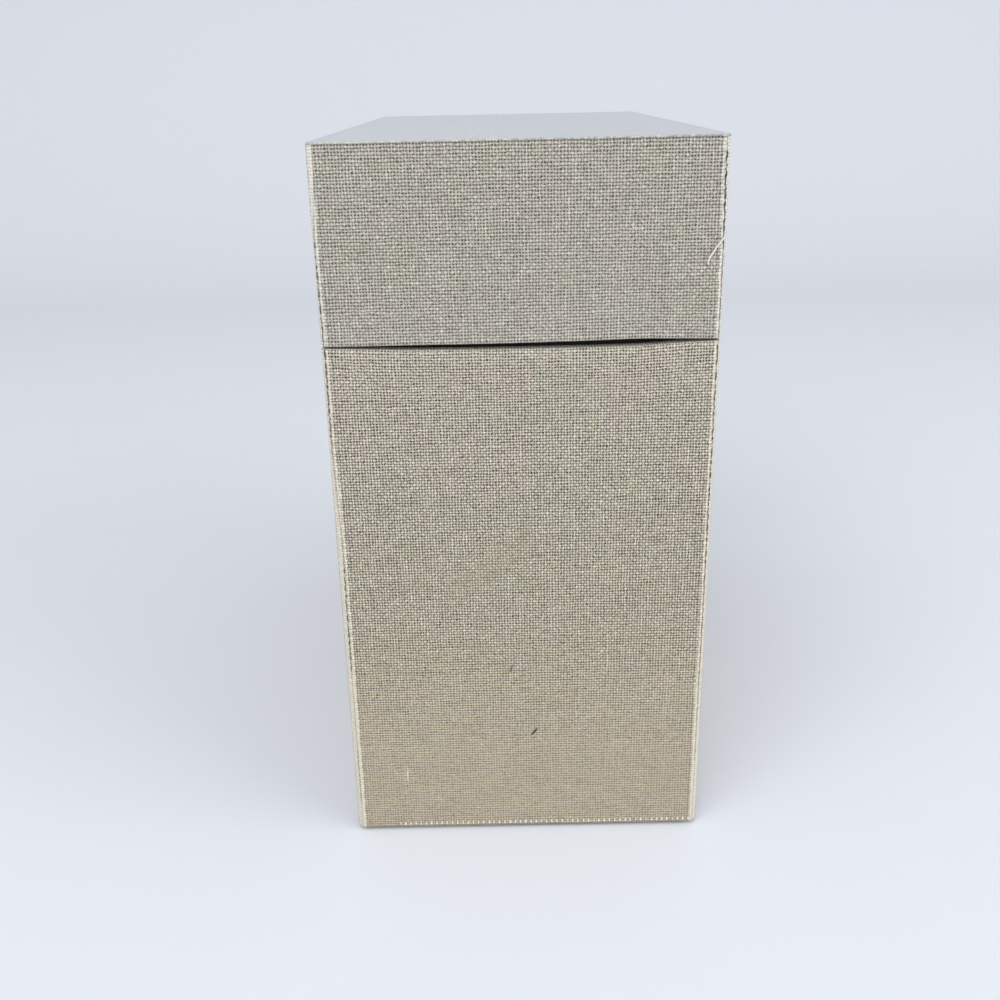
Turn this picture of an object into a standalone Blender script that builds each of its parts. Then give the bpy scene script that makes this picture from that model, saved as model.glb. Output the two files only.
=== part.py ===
"""A cloth-covered perfume box: a rigid base, an inner neck, a lift-off lid and an insert with a bottle well.

The closed box stands on its underside, and the origin is the middle of that underside. X is the narrow width,
Y is the depth and Z is the height, in metres. The front is the narrow end at -Y. The lid lifts straight up.
"""

import math
from dataclasses import dataclass

import bpy
from mathutils import Matrix, Vector

MM = 0.001

# Outside of the closed box
BOX_WIDTH = 75.0 * MM
BOX_DEPTH = 149.0 * MM
BOX_HEIGHT = 145.5 * MM
LID_HEIGHT = 36.4 * MM
CORNER_RADIUS = 2.0 * MM
FOLD_RADIUS = 0.4 * MM
END_CLOTH_INSET = 1.2 * MM
UNDERSIDE_MARGIN = 3.0 * MM

# Thicknesses of what the box is made from
BOARD = 2.0 * MM
NECK_BOARD = 1.5 * MM
INSERT_BOARD = 1.5 * MM
PAD_CARD = 1.0 * MM
CLOTH = 0.45 * MM
BOTTOM_SHEET = 0.4 * MM
PAPER = 0.25 * MM
VELVET = 0.6 * MM

# Gaps and running clearances
GLUE_GAP = 0.3 * MM
CLOTH_JOINT = 0.3 * MM
SEAM_GAP = 0.3 * MM
NECK_FIT = 0.4 * MM
INSERT_FIT = 0.4 * MM
PAD_FIT = 0.3 * MM
CARD_FIT = 1.5 * MM

# How far each covering turns in or reaches down
TURN_IN = 14.0 * MM
HEM = 12.0 * MM
NECK_RISE = 22.0 * MM
NECK_PAPER_DEPTH = 40.0 * MM

# The insert that holds the bottle
WELL_WIDTH = 46.0 * MM
WELL_DEPTH = 106.0 * MM
PLATFORM_DROP = 8.3 * MM
WELL_PAD = 5.0 * MM
PAD_EDGE = 1.2 * MM

# The pad on the lid's ceiling
LID_PAD = 4.0 * MM
LID_PAD_CROWN = 1.6 * MM
LID_PAD_DRAW_IN = 0.8 * MM

# How finely the round shapes are divided, and how far a cutter runs past what it cuts
CORNER_STEPS = 6
FOLD_STEPS = 3
EDGE_STEPS = 3
CAGE_CUTS = 4
CAGE_SPREAD = 0.25
SMOOTHING = 1
FOLD_ANGLE = math.radians(60)
OVERRUN = 1.0 * MM

# Layers of the walls, each measured inwards from the box's outer faces
BOARD_OUTSIDE = CLOTH + GLUE_GAP
BOARD_INSIDE = BOARD_OUTSIDE + BOARD
TURN_IN_OUTSIDE = BOARD_INSIDE + GLUE_GAP
TURN_IN_INSIDE = TURN_IN_OUTSIDE + CLOTH
NECK_OUTSIDE = TURN_IN_INSIDE + NECK_FIT
NECK_BOARD_OUTSIDE = NECK_OUTSIDE + PAPER + GLUE_GAP
NECK_BOARD_INSIDE = NECK_BOARD_OUTSIDE + NECK_BOARD
NECK_INSIDE = NECK_BOARD_INSIDE + GLUE_GAP + PAPER
PLATFORM_OUTSIDE = NECK_INSIDE + INSERT_FIT
PLATFORM_BOARD_OUTSIDE = PLATFORM_OUTSIDE + VELVET + GLUE_GAP
LINING_OUTSIDE = BOARD_INSIDE + GLUE_GAP
LINING_INSIDE = LINING_OUTSIDE + PAPER
PAD_OUTSIDE = LINING_INSIDE + CARD_FIT

# Heights in the base, from the underside up
HEM_LOW = BOTTOM_SHEET + GLUE_GAP
HEM_TOP = HEM_LOW + CLOTH
FLOOR_LOW = HEM_TOP + GLUE_GAP
FLOOR_TOP = FLOOR_LOW + BOARD
STANDING = FLOOR_TOP + GLUE_GAP
LID_RIM = BOX_HEIGHT - LID_HEIGHT
BASE_RIM = LID_RIM - SEAM_GAP
BASE_BOARD_TOP = BASE_RIM - CLOTH - GLUE_GAP
NECK_TOP = BASE_RIM + NECK_RISE
NECK_BOARD_TOP = NECK_TOP - PAPER - GLUE_GAP
NECK_PAPER_LOW = NECK_TOP - NECK_PAPER_DEPTH
PLATFORM_TOP = BASE_RIM - PLATFORM_DROP
PLATFORM_BOARD_TOP = PLATFORM_TOP - VELVET - GLUE_GAP
PLATFORM_BOARD_LOW = PLATFORM_BOARD_TOP - BOARD
PACKING_TOP = PLATFORM_BOARD_LOW - GLUE_GAP

# Heights in the lid
LID_BOARD_LOW = LID_RIM + CLOTH + GLUE_GAP
LID_TOP_BOARD_TOP = BOX_HEIGHT - CLOTH - GLUE_GAP
LID_TOP_BOARD_LOW = LID_TOP_BOARD_TOP - BOARD
LID_BOARD_TOP = LID_TOP_BOARD_LOW - GLUE_GAP
TOP_CLOTH_LOW = BOX_HEIGHT - CLOTH
LID_CLOTH_TOP = TOP_CLOTH_LOW - CLOTH_JOINT
LINING_LOW = LID_RIM + TURN_IN + GLUE_GAP
LINING_TOP = LID_TOP_BOARD_LOW - GLUE_GAP
CEILING = LINING_TOP - PAPER
PAD_CARD_TOP = CEILING - GLUE_GAP
PAD_CARD_LOW = PAD_CARD_TOP - PAD_CARD
LID_PAD_TOP = PAD_CARD_LOW - GLUE_GAP
LID_PAD_LOW = LID_PAD_TOP - LID_PAD

# Finishes: base colour and roughness
LINEN = ("linen_book_cloth", (0.50, 0.47, 0.38), 0.92)
GREYBOARD = ("greyboard", (0.36, 0.33, 0.28), 0.95)
NECK_PAPER = ("dark_neck_paper", (0.036, 0.031, 0.028), 0.85)
LINING_PAPER = ("lining_paper", (0.80, 0.76, 0.67), 0.85)
BASE_PAPER = ("bottom_sheet_paper", (0.62, 0.58, 0.49), 0.9)
FLOCKED_VELVET = ("flocked_velvet", (0.66, 0.60, 0.48), 0.95)
SATIN = ("ivory_satin", (0.82, 0.77, 0.66), 0.45)


def clear_scene():
    """Removes every object that the file opened with."""
    for piece in list(bpy.data.objects):
        bpy.data.objects.remove(piece)


def new_group(name):
    """A collection of its own in the scene."""
    group = bpy.data.collections.new(name)
    bpy.context.scene.collection.children.link(group)
    return group


def finish_material(finish):
    """The Principled material of a finish, made once and shared."""
    name, colour, roughness = finish
    material = bpy.data.materials.get(name)
    if material is None:
        material = bpy.data.materials.new(name)
        material.use_nodes = True
        shader = material.node_tree.nodes["Principled BSDF"]
        shader.inputs["Base Color"].default_value = (*colour, 1.0)
        shader.inputs["Roughness"].default_value = roughness
        shader.inputs["Metallic"].default_value = 0.0
    return material


def block(name, low, high):
    """A box between its lowest and highest corners, with its origin at its middle."""
    low, high = Vector(low), Vector(high)
    bpy.ops.mesh.primitive_cube_add(size=1.0, location=(low + high) / 2)
    piece = bpy.context.object
    piece.name = piece.data.name = name
    piece.data.transform(Matrix.Diagonal((*(high - low), 1.0)))
    return piece


def round_edges(piece, radius, steps, chosen):
    """Rounds the edges of a box for which chosen(one end, other end) is true."""
    weights = piece.data.attributes.new("bevel_weight_edge", "FLOAT", "EDGE")
    points = piece.data.vertices
    for edge, weight in zip(piece.data.edges, weights.data):
        weight.value = float(chosen(*(points[i].co for i in edge.vertices)))
    bevel = piece.modifiers.new("rounding", "BEVEL")
    bevel.limit_method = "WEIGHT"
    bevel.width = radius
    bevel.segments = steps


def soften_folds(piece, radius, steps):
    """Rounds the square edges that the upright corners leave, where cloth folds over a board."""
    bevel = piece.modifiers.new("folds", "BEVEL")
    bevel.limit_method = "ANGLE"
    bevel.angle_limit = FOLD_ANGLE
    bevel.width = radius
    bevel.segments = steps


def is_upright(one, other):
    """True for an edge that runs along Z."""
    return abs(one.z - other.z) > abs(one.x - other.x) + abs(one.y - other.y)


def corner_at(inset):
    """The radius of an upright corner at a layer this far inside the outer faces."""
    return CORNER_RADIUS - inset


def plan_block(name, inset, low, high, across=False):
    """A box whose sides lie this far inside the box's outer faces, or that runs right across the box."""
    x = BOX_WIDTH / 2 + OVERRUN if across else BOX_WIDTH / 2 - inset
    y = BOX_DEPTH / 2 - inset
    return block(name, (-x, -y, low), (x, y, high))


def rounded_block(name, inset, low, high):
    """A plan_block with the upright corners that its layer has."""
    piece = plan_block(name, inset, low, high)
    round_edges(piece, corner_at(inset), CORNER_STEPS, is_upright)
    return piece


def well_block(name, margin, low, high):
    """A box whose sides lie this far outside the bottle's well."""
    x = WELL_WIDTH / 2 + margin
    y = WELL_DEPTH / 2 + margin
    return block(name, (-x, -y, low), (x, y, high))


@dataclass(frozen=True)
class Shell:
    """The cloth round one shell of boards, named as what carries it.

    It is hollow from hollow_end to its rim, which is its high end (rim 1) or its low end (rim -1). There it
    turns in over the boards. Below hem_top it turns under the floor, and a shell without a hem has None.
    """

    name: str
    low: float
    high: float
    hollow_end: float
    rim: int
    hem_top: float | None

    def rim_edge(self):
        """The height of the rim's outermost fold."""
        return self.high if self.rim > 0 else self.low


class Model:
    """Puts pieces and cutters in their collections, and joins them with Boolean modifiers."""

    def __init__(self):
        self.pieces = new_group("perfume_box")
        self.cutters = new_group("cutters")
        self.carriers = {}

    def carrier(self, name, height):
        """An empty that carries the pieces of one body, on that body's line of travel."""
        empty = bpy.data.objects.new(name, None)
        empty.location.z = height
        self.pieces.objects.link(empty)
        self.carriers[name] = empty

    def move_to(self, group, piece):
        """Leaves the piece in this one collection."""
        for owner in list(piece.users_collection):
            owner.objects.unlink(piece)
        group.objects.link(piece)

    def add(self, piece, finish, carrier):
        """Makes this piece one of the box's own, with its finish and what carries it."""
        self.move_to(self.pieces, piece)
        piece.data.materials.append(finish_material(finish))
        piece.parent = self.carriers[carrier]
        piece.location -= piece.parent.location
        return piece

    def combine(self, piece, tool, operation):
        """Cuts the tool from the piece, or joins it on, and keeps the tool as a cutter."""
        self.move_to(self.cutters, tool)
        tool.hide_render = True
        tool.display_type = "WIRE"
        boolean = piece.modifiers.new(tool.name, "BOOLEAN")
        boolean.operation = operation
        boolean.object = tool

    def cut(self, piece, tool):
        """Takes the tool's shape away from the piece."""
        self.combine(piece, tool, "DIFFERENCE")

    def join(self, piece, tool):
        """Adds the tool's shape to the piece."""
        self.combine(piece, tool, "UNION")

    def end_board(self, name, inset, thickness, side, low, high, finish, carrier):
        """A front (side -1) or back (side 1) board, as wide as its layer."""
        x = BOX_WIDTH / 2 - inset
        outer = side * (BOX_DEPTH / 2 - inset)
        inner = outer - side * thickness
        board = block(name, (-x, min(outer, inner), low), (x, max(outer, inner), high))
        if corner_at(inset) > 0:
            round_edges(
                board,
                corner_at(inset),
                CORNER_STEPS,
                lambda one, other: is_upright(one, other) and one.y * side > 0,
            )
        return self.add(board, finish, carrier)

    def side_board(self, name, inset, thickness, side, low, high, finish, carrier):
        """A left (side -1) or right (side 1) board, glued between the front and back boards."""
        y = BOX_DEPTH / 2 - inset - thickness - GLUE_GAP
        outer = side * (BOX_WIDTH / 2 - inset)
        inner = outer - side * thickness
        board = block(name, (min(outer, inner), -y, low), (max(outer, inner), y, high))
        return self.add(board, finish, carrier)

    def four_walls(self, prefix, inset, thickness, low, high, finish, carrier):
        """The four boards of one layer."""
        for word, side in (("front", -1), ("back", 1)):
            self.end_board(f"{prefix}_{word}_board", inset, thickness, side, low, high, finish, carrier)
        for word, side in (("left", -1), ("right", 1)):
            self.side_board(f"{prefix}_{word}_board", inset, thickness, side, low, high, finish, carrier)

    def cloth_tools(self, shell, across):
        """The tools that turn a block into cloth round a shell, each with what it does, in order.

        The front and back cloths end at their own layer, so their tools run right across the box.
        """
        prefix = f"{shell.name}_{'end' if across else 'side'}"
        edge, rim = shell.rim_edge(), shell.rim
        hollow_ends = sorted((shell.hollow_end, edge - rim * CLOTH))
        turn_in_ends = sorted((edge - rim * CLOTH / 2, edge - rim * TURN_IN))
        mouth_ends = sorted((edge + rim * OVERRUN, edge - rim * (TURN_IN + OVERRUN)))
        tools = [
            (rounded_block(f"{prefix}_hollow", CLOTH, *hollow_ends), "DIFFERENCE"),
            (plan_block(f"{prefix}_turn_in", TURN_IN_OUTSIDE, *turn_in_ends), "UNION"),
            (plan_block(f"{prefix}_mouth", TURN_IN_INSIDE, *mouth_ends, across), "DIFFERENCE"),
        ]
        if shell.hem_top is not None:
            under = plan_block(f"{prefix}_hem", HEM, shell.low - OVERRUN, shell.hem_top, across)
            tools.append((under, "DIFFERENCE"))
        return tools

    def shell_cloth(self, shell, word, tools):
        """A block with soft folds, turned into shell cloth by the tools."""
        cloth = rounded_block(f"{shell.name}_{word}_cloth", 0.0, shell.low, shell.high)
        soften_folds(cloth, FOLD_RADIUS, FOLD_STEPS)
        for tool, operation in tools:
            self.combine(cloth, tool, operation)
        return self.add(cloth, LINEN, shell.name)

    def kept_clear(self, shell, word, side):
        """The room that the side cloths leave for the front (side -1) or back (side 1) cloth."""
        x = BOX_WIDTH / 2 - END_CLOTH_INSET + CLOTH_JOINT
        outer = side * (BOX_DEPTH / 2 + OVERRUN)
        inner = side * (BOX_DEPTH / 2 - TURN_IN_INSIDE - CLOTH_JOINT)
        low, high = shell.low - OVERRUN, shell.high + OVERRUN
        near, far = sorted((inner, outer))
        clear = block(f"{shell.name}_{word}_clear", (-x, near, low), (x, far, high))
        if shell.hem_top is not None:
            inner = side * (BOX_DEPTH / 2 - HEM - CLOTH_JOINT)
            near, far = sorted((inner, outer + side * OVERRUN))
            low -= OVERRUN
            under = block(f"{shell.name}_{word}_clear_hem", (-x, near, low), (x, far, shell.hem_top))
            self.join(clear, under)
        return clear

    def wall_cloths(self, shell):
        """Four cloths round a shell: front and back panels, and left and right ones that turn the corners."""
        low, high = shell.low - OVERRUN, shell.high + OVERRUN
        ends = ("front", -1), ("back", 1)
        tools = self.cloth_tools(shell, across=True)
        x = BOX_WIDTH / 2 - END_CLOTH_INSET
        for word, side in ends:
            cloth = self.shell_cloth(shell, word, tools)
            near, far = sorted((0.0, side * (BOX_DEPTH / 2 + OVERRUN)))
            panel = block(f"{shell.name}_{word}_panel", (-x, near, low), (x, far, high))
            self.combine(cloth, panel, "INTERSECT")
        tools = self.cloth_tools(shell, across=False)
        clears = [self.kept_clear(shell, word, side) for word, side in ends]
        y = BOX_DEPTH / 2 + OVERRUN
        for word, side in (("left", -1), ("right", 1)):
            cloth = self.shell_cloth(shell, word, tools)
            near, far = sorted((0.0, side * (BOX_WIDTH / 2 + OVERRUN)))
            half = block(f"{shell.name}_{word}_half", (near, -y, low), (far, y, high))
            self.combine(cloth, half, "INTERSECT")
            for clear in clears:
                self.cut(cloth, clear)

    def build_base(self):
        """The base shell: floor, walls, cloth and the sheet under the floor."""
        floor = rounded_block("base_floor_board", BOARD_OUTSIDE, FLOOR_LOW, FLOOR_TOP)
        self.add(floor, GREYBOARD, "base")
        self.four_walls("base", BOARD_OUTSIDE, BOARD, STANDING, BASE_BOARD_TOP, GREYBOARD, "base")
        hem_top = (HEM_TOP + FLOOR_LOW) / 2
        self.wall_cloths(Shell("base", HEM_LOW, BASE_RIM, HEM_TOP, 1, hem_top))
        sheet = plan_block("base_bottom_sheet", UNDERSIDE_MARGIN, 0.0, BOTTOM_SHEET)
        self.add(sheet, BASE_PAPER, "base")

    def build_neck(self):
        """The neck: boards that stand on the floor and rise into the lid, and the paper over their tops."""
        ends = STANDING, NECK_BOARD_TOP
        self.four_walls("neck", NECK_BOARD_OUTSIDE, NECK_BOARD, *ends, GREYBOARD, "base")
        paper = plan_block("neck_paper", NECK_OUTSIDE, NECK_PAPER_LOW, NECK_TOP)
        low = NECK_PAPER_LOW - OVERRUN
        slot = plan_block("neck_paper_slot", NECK_OUTSIDE + PAPER, low, NECK_TOP - PAPER)
        self.cut(slot, plan_block("neck_paper_core", NECK_INSIDE - PAPER, low - OVERRUN, NECK_TOP))
        self.cut(paper, slot)
        self.cut(paper, plan_block("neck_mouth", NECK_INSIDE, low, NECK_TOP + OVERRUN))
        self.add(paper, NECK_PAPER, "base")

    def build_insert(self):
        """The insert: platform, packers under its ends, the well's boards and pad, and velvet over them."""
        lining = VELVET + GLUE_GAP
        platform = plan_block(
            "platform_board", PLATFORM_BOARD_OUTSIDE, PLATFORM_BOARD_LOW, PLATFORM_BOARD_TOP
        )
        hole_ends = PLATFORM_BOARD_LOW - OVERRUN, PLATFORM_BOARD_TOP + OVERRUN
        self.cut(platform, well_block("platform_cut_out", lining, *hole_ends))
        self.add(platform, GREYBOARD, "base")
        self.build_well_boards(lining)
        for word, side in (("front", -1), ("back", 1)):
            self.end_board(
                f"platform_{word}_packer",
                PLATFORM_BOARD_OUTSIDE,
                INSERT_BOARD,
                side,
                STANDING,
                PACKING_TOP,
                GREYBOARD,
                "base",
            )
        self.build_velvet()
        pad = well_block("well_pad", -PAD_FIT, STANDING, STANDING + WELL_PAD)
        round_edges(pad, PAD_EDGE, EDGE_STEPS, lambda one, other: one.z > 0 and other.z > 0)
        self.add(pad, FLOCKED_VELVET, "base")

    def build_well_boards(self, margin):
        """Four boards that stand on the floor round the well and carry the platform."""
        x = WELL_WIDTH / 2 + margin
        y = WELL_DEPTH / 2 + margin
        far_x = x + INSERT_BOARD
        far_y = y + INSERT_BOARD
        for word, side in (("front", -1), ("back", 1)):
            near, far = sorted((side * y, side * far_y))
            board = block(f"well_{word}_board", (-far_x, near, STANDING), (far_x, far, PACKING_TOP))
            self.add(board, GREYBOARD, "base")
        inner_y = y - GLUE_GAP
        for word, side in (("left", -1), ("right", 1)):
            near, far = sorted((side * x, side * far_x))
            board = block(f"well_{word}_board", (near, -inner_y, STANDING), (far, inner_y, PACKING_TOP))
            self.add(board, GREYBOARD, "base")

    def build_velvet(self):
        """One velvet piece over the platform, down its outer edges and down the walls of the well."""
        velvet = plan_block("insert_velvet", PLATFORM_OUTSIDE, PLATFORM_BOARD_LOW, PLATFORM_TOP)
        low = PLATFORM_BOARD_LOW - OVERRUN
        inset = PLATFORM_OUTSIDE + VELVET
        self.cut(velvet, plan_block("velvet_underside", inset, low, PLATFORM_TOP - VELVET))
        sleeve_top = PLATFORM_TOP - VELVET / 2
        self.join(velvet, well_block("velvet_sleeve", VELVET, STANDING, sleeve_top))
        mouth_ends = STANDING - OVERRUN, PLATFORM_TOP + OVERRUN
        self.cut(velvet, well_block("velvet_mouth", 0.0, *mouth_ends))
        self.add(velvet, FLOCKED_VELVET, "base")

    def build_lid(self):
        """The lid shell: top, walls, cloth and lining."""
        top = rounded_block("lid_top_board", BOARD_OUTSIDE, LID_TOP_BOARD_LOW, LID_TOP_BOARD_TOP)
        self.add(top, GREYBOARD, "lid")
        self.four_walls("lid", BOARD_OUTSIDE, BOARD, LID_BOARD_LOW, LID_BOARD_TOP, GREYBOARD, "lid")
        self.wall_cloths(Shell("lid", LID_RIM, LID_CLOTH_TOP, LID_CLOTH_TOP + OVERRUN, -1, None))
        top_cloth = rounded_block("lid_top_cloth", 0.0, LID_TOP_BOARD_LOW, BOX_HEIGHT)
        soften_folds(top_cloth, FOLD_RADIUS, FOLD_STEPS)
        room_ends = LID_TOP_BOARD_LOW - OVERRUN, TOP_CLOTH_LOW
        self.cut(top_cloth, plan_block("lid_top_cloth_room", -OVERRUN, *room_ends))
        self.add(top_cloth, LINEN, "lid")
        lining = plan_block("lid_lining", LINING_OUTSIDE, LINING_LOW, LINING_TOP)
        self.cut(lining, plan_block("lid_lining_room", LINING_INSIDE, LINING_LOW - OVERRUN, CEILING))
        self.add(lining, LINING_PAPER, "lid")

    def build_lid_pad(self):
        """The card and the satin pad on the lid's ceiling, with the pad's crown facing down."""
        card = plan_block("lid_pad_card", PAD_OUTSIDE, PAD_CARD_LOW, PAD_CARD_TOP)
        self.add(card, GREYBOARD, "lid")
        pad = plan_block("lid_pad", PAD_OUTSIDE, LID_PAD_LOW, LID_PAD_TOP)
        shape_pad(pad)
        self.add(pad, SATIN, "lid")


def shape_pad(pad):
    """Gives a box the form of a pad: crowned below, drawn in along its sides and flat above."""
    half = [max(vertex.co[axis] for vertex in pad.data.vertices) for axis in range(3)]
    bpy.context.view_layer.objects.active = pad
    bpy.ops.object.mode_set(mode="EDIT")
    bpy.ops.mesh.select_all(action="SELECT")
    bpy.ops.mesh.subdivide(number_cuts=CAGE_CUTS)
    bpy.ops.object.mode_set(mode="OBJECT")
    for vertex in pad.data.vertices:
        across, along, up = (vertex.co[axis] / half[axis] for axis in range(3))
        crown = (1 - across**2) * (1 - along**2) * max(0.0, -up)
        draw_in = (1 - up**2) * LID_PAD_DRAW_IN
        vertex.co.x = math.copysign(abs(across) ** CAGE_SPREAD, across) * (half[0] - draw_in * (1 - along**2))
        vertex.co.y = math.copysign(abs(along) ** CAGE_SPREAD, along) * (half[1] - draw_in * (1 - across**2))
        vertex.co.z -= crown * LID_PAD_CROWN
    smooth = pad.modifiers.new("stuffing", "SUBSURF")
    smooth.levels = smooth.render_levels = SMOOTHING
    pad.data.shade_smooth()


def main():
    """Builds the closed box."""
    clear_scene()
    model = Model()
    model.carrier("base", 0.0)
    model.carrier("lid", LID_RIM)
    model.build_base()
    model.build_neck()
    model.build_insert()
    model.build_lid()
    model.build_lid_pad()


main()
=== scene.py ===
"""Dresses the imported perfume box: linen over boards, a papered neck, a velvet insert and a satin lid pad.

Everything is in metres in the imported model's frame: X across the narrow width, Y away from the viewer, Z up.
"""

import logging
import math
from dataclasses import dataclass
from enum import Enum
from typing import Callable, Sequence, Union

import bpy
import numpy as np
from mathutils import Matrix, Vector


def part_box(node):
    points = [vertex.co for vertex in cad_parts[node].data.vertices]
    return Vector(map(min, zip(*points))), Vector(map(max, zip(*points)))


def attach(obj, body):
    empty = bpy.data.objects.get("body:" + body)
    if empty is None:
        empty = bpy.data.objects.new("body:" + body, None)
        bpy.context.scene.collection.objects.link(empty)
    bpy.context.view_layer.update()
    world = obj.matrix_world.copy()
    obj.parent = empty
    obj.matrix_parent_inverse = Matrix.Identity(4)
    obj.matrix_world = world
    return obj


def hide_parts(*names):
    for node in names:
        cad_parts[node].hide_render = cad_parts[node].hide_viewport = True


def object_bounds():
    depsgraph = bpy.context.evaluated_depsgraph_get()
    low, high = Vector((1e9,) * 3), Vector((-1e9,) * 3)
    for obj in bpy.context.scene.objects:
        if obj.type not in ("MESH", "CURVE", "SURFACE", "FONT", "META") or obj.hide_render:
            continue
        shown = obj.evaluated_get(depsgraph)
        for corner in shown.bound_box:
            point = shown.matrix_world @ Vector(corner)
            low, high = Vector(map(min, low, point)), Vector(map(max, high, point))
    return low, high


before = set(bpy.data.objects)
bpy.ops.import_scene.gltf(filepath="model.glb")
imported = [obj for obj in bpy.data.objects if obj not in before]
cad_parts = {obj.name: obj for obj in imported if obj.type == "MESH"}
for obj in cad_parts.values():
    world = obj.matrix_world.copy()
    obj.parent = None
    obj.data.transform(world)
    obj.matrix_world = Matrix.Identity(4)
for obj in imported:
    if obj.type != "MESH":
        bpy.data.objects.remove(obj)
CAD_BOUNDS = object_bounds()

LOG = logging.getLogger("perfume_box")

MM = 0.001
TINY = 1e-9
SAME_POINT = 1e-7
SHARP_EDGE = math.radians(50.0)
ROUNDING_STEPS = 7
CENTRE_GAP = 0.6 * MM
SPACING = 3.0 * MM
YARN_MAP = "yarns"
# How much a point lies on a folded edge, where the cloth takes its fold colour.
FOLD = "fold"
# How much painted shade the groove beside a cut edge of cloth gets.
GROOVE_SHADE = "groove"
PITCH = (0.579 * MM, 0.584 * MM)
Colour = tuple[float, float, float]
Table = tuple[tuple[float, float], ...]
Level = Union["Signal", float]
Grid = np.ndarray


@dataclass(frozen=True)
class Signal:
    """A value that flows between shader nodes, with plain arithmetic."""

    shader: "Shader"
    socket: bpy.types.NodeSocket

    def __add__(self, other: Level) -> "Signal":
        """The sum."""
        return self.shader.math("ADD", self, other)

    def __sub__(self, other: Level) -> "Signal":
        """The difference."""
        return self.shader.math("SUBTRACT", self, other)

    def __rsub__(self, other: float) -> "Signal":
        """The difference from a plain number."""
        return self.shader.math("SUBTRACT", other, self)

    def __mul__(self, other: Level) -> "Signal":
        """The product."""
        return self.shader.math("MULTIPLY", self, other)

    def __truediv__(self, other: Level) -> "Signal":
        """The quotient."""
        return self.shader.math("DIVIDE", self, other)

    __radd__ = __add__
    __rmul__ = __mul__

    def apply(self, operation: str, *others: Level) -> "Signal":
        """The result of any one of the Math node's operations."""
        return self.shader.math(operation, self, *others)

    def ramp(self, low: float, high: float, start: float = 0.0, end: float = 1.0) -> "Signal":
        """A smooth step from start to end as the value goes from low to high.

        Args:
            low: The value at which the step starts.
            high: The value at which it ends.
            start: The result up to low.
            end: The result from high on.

        Returns:
            The stepped value.
        """
        step = self.shader.node("ShaderNodeMapRange", interpolation_type="SMOOTHSTEP")
        self.shader.feed(step.inputs["Value"], self)
        for name, value in zip(("From Min", "From Max", "To Min", "To Max"), (low, high, start, end)):
            step.inputs[name].default_value = value
        return Signal(self.shader, step.outputs["Result"])


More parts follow.
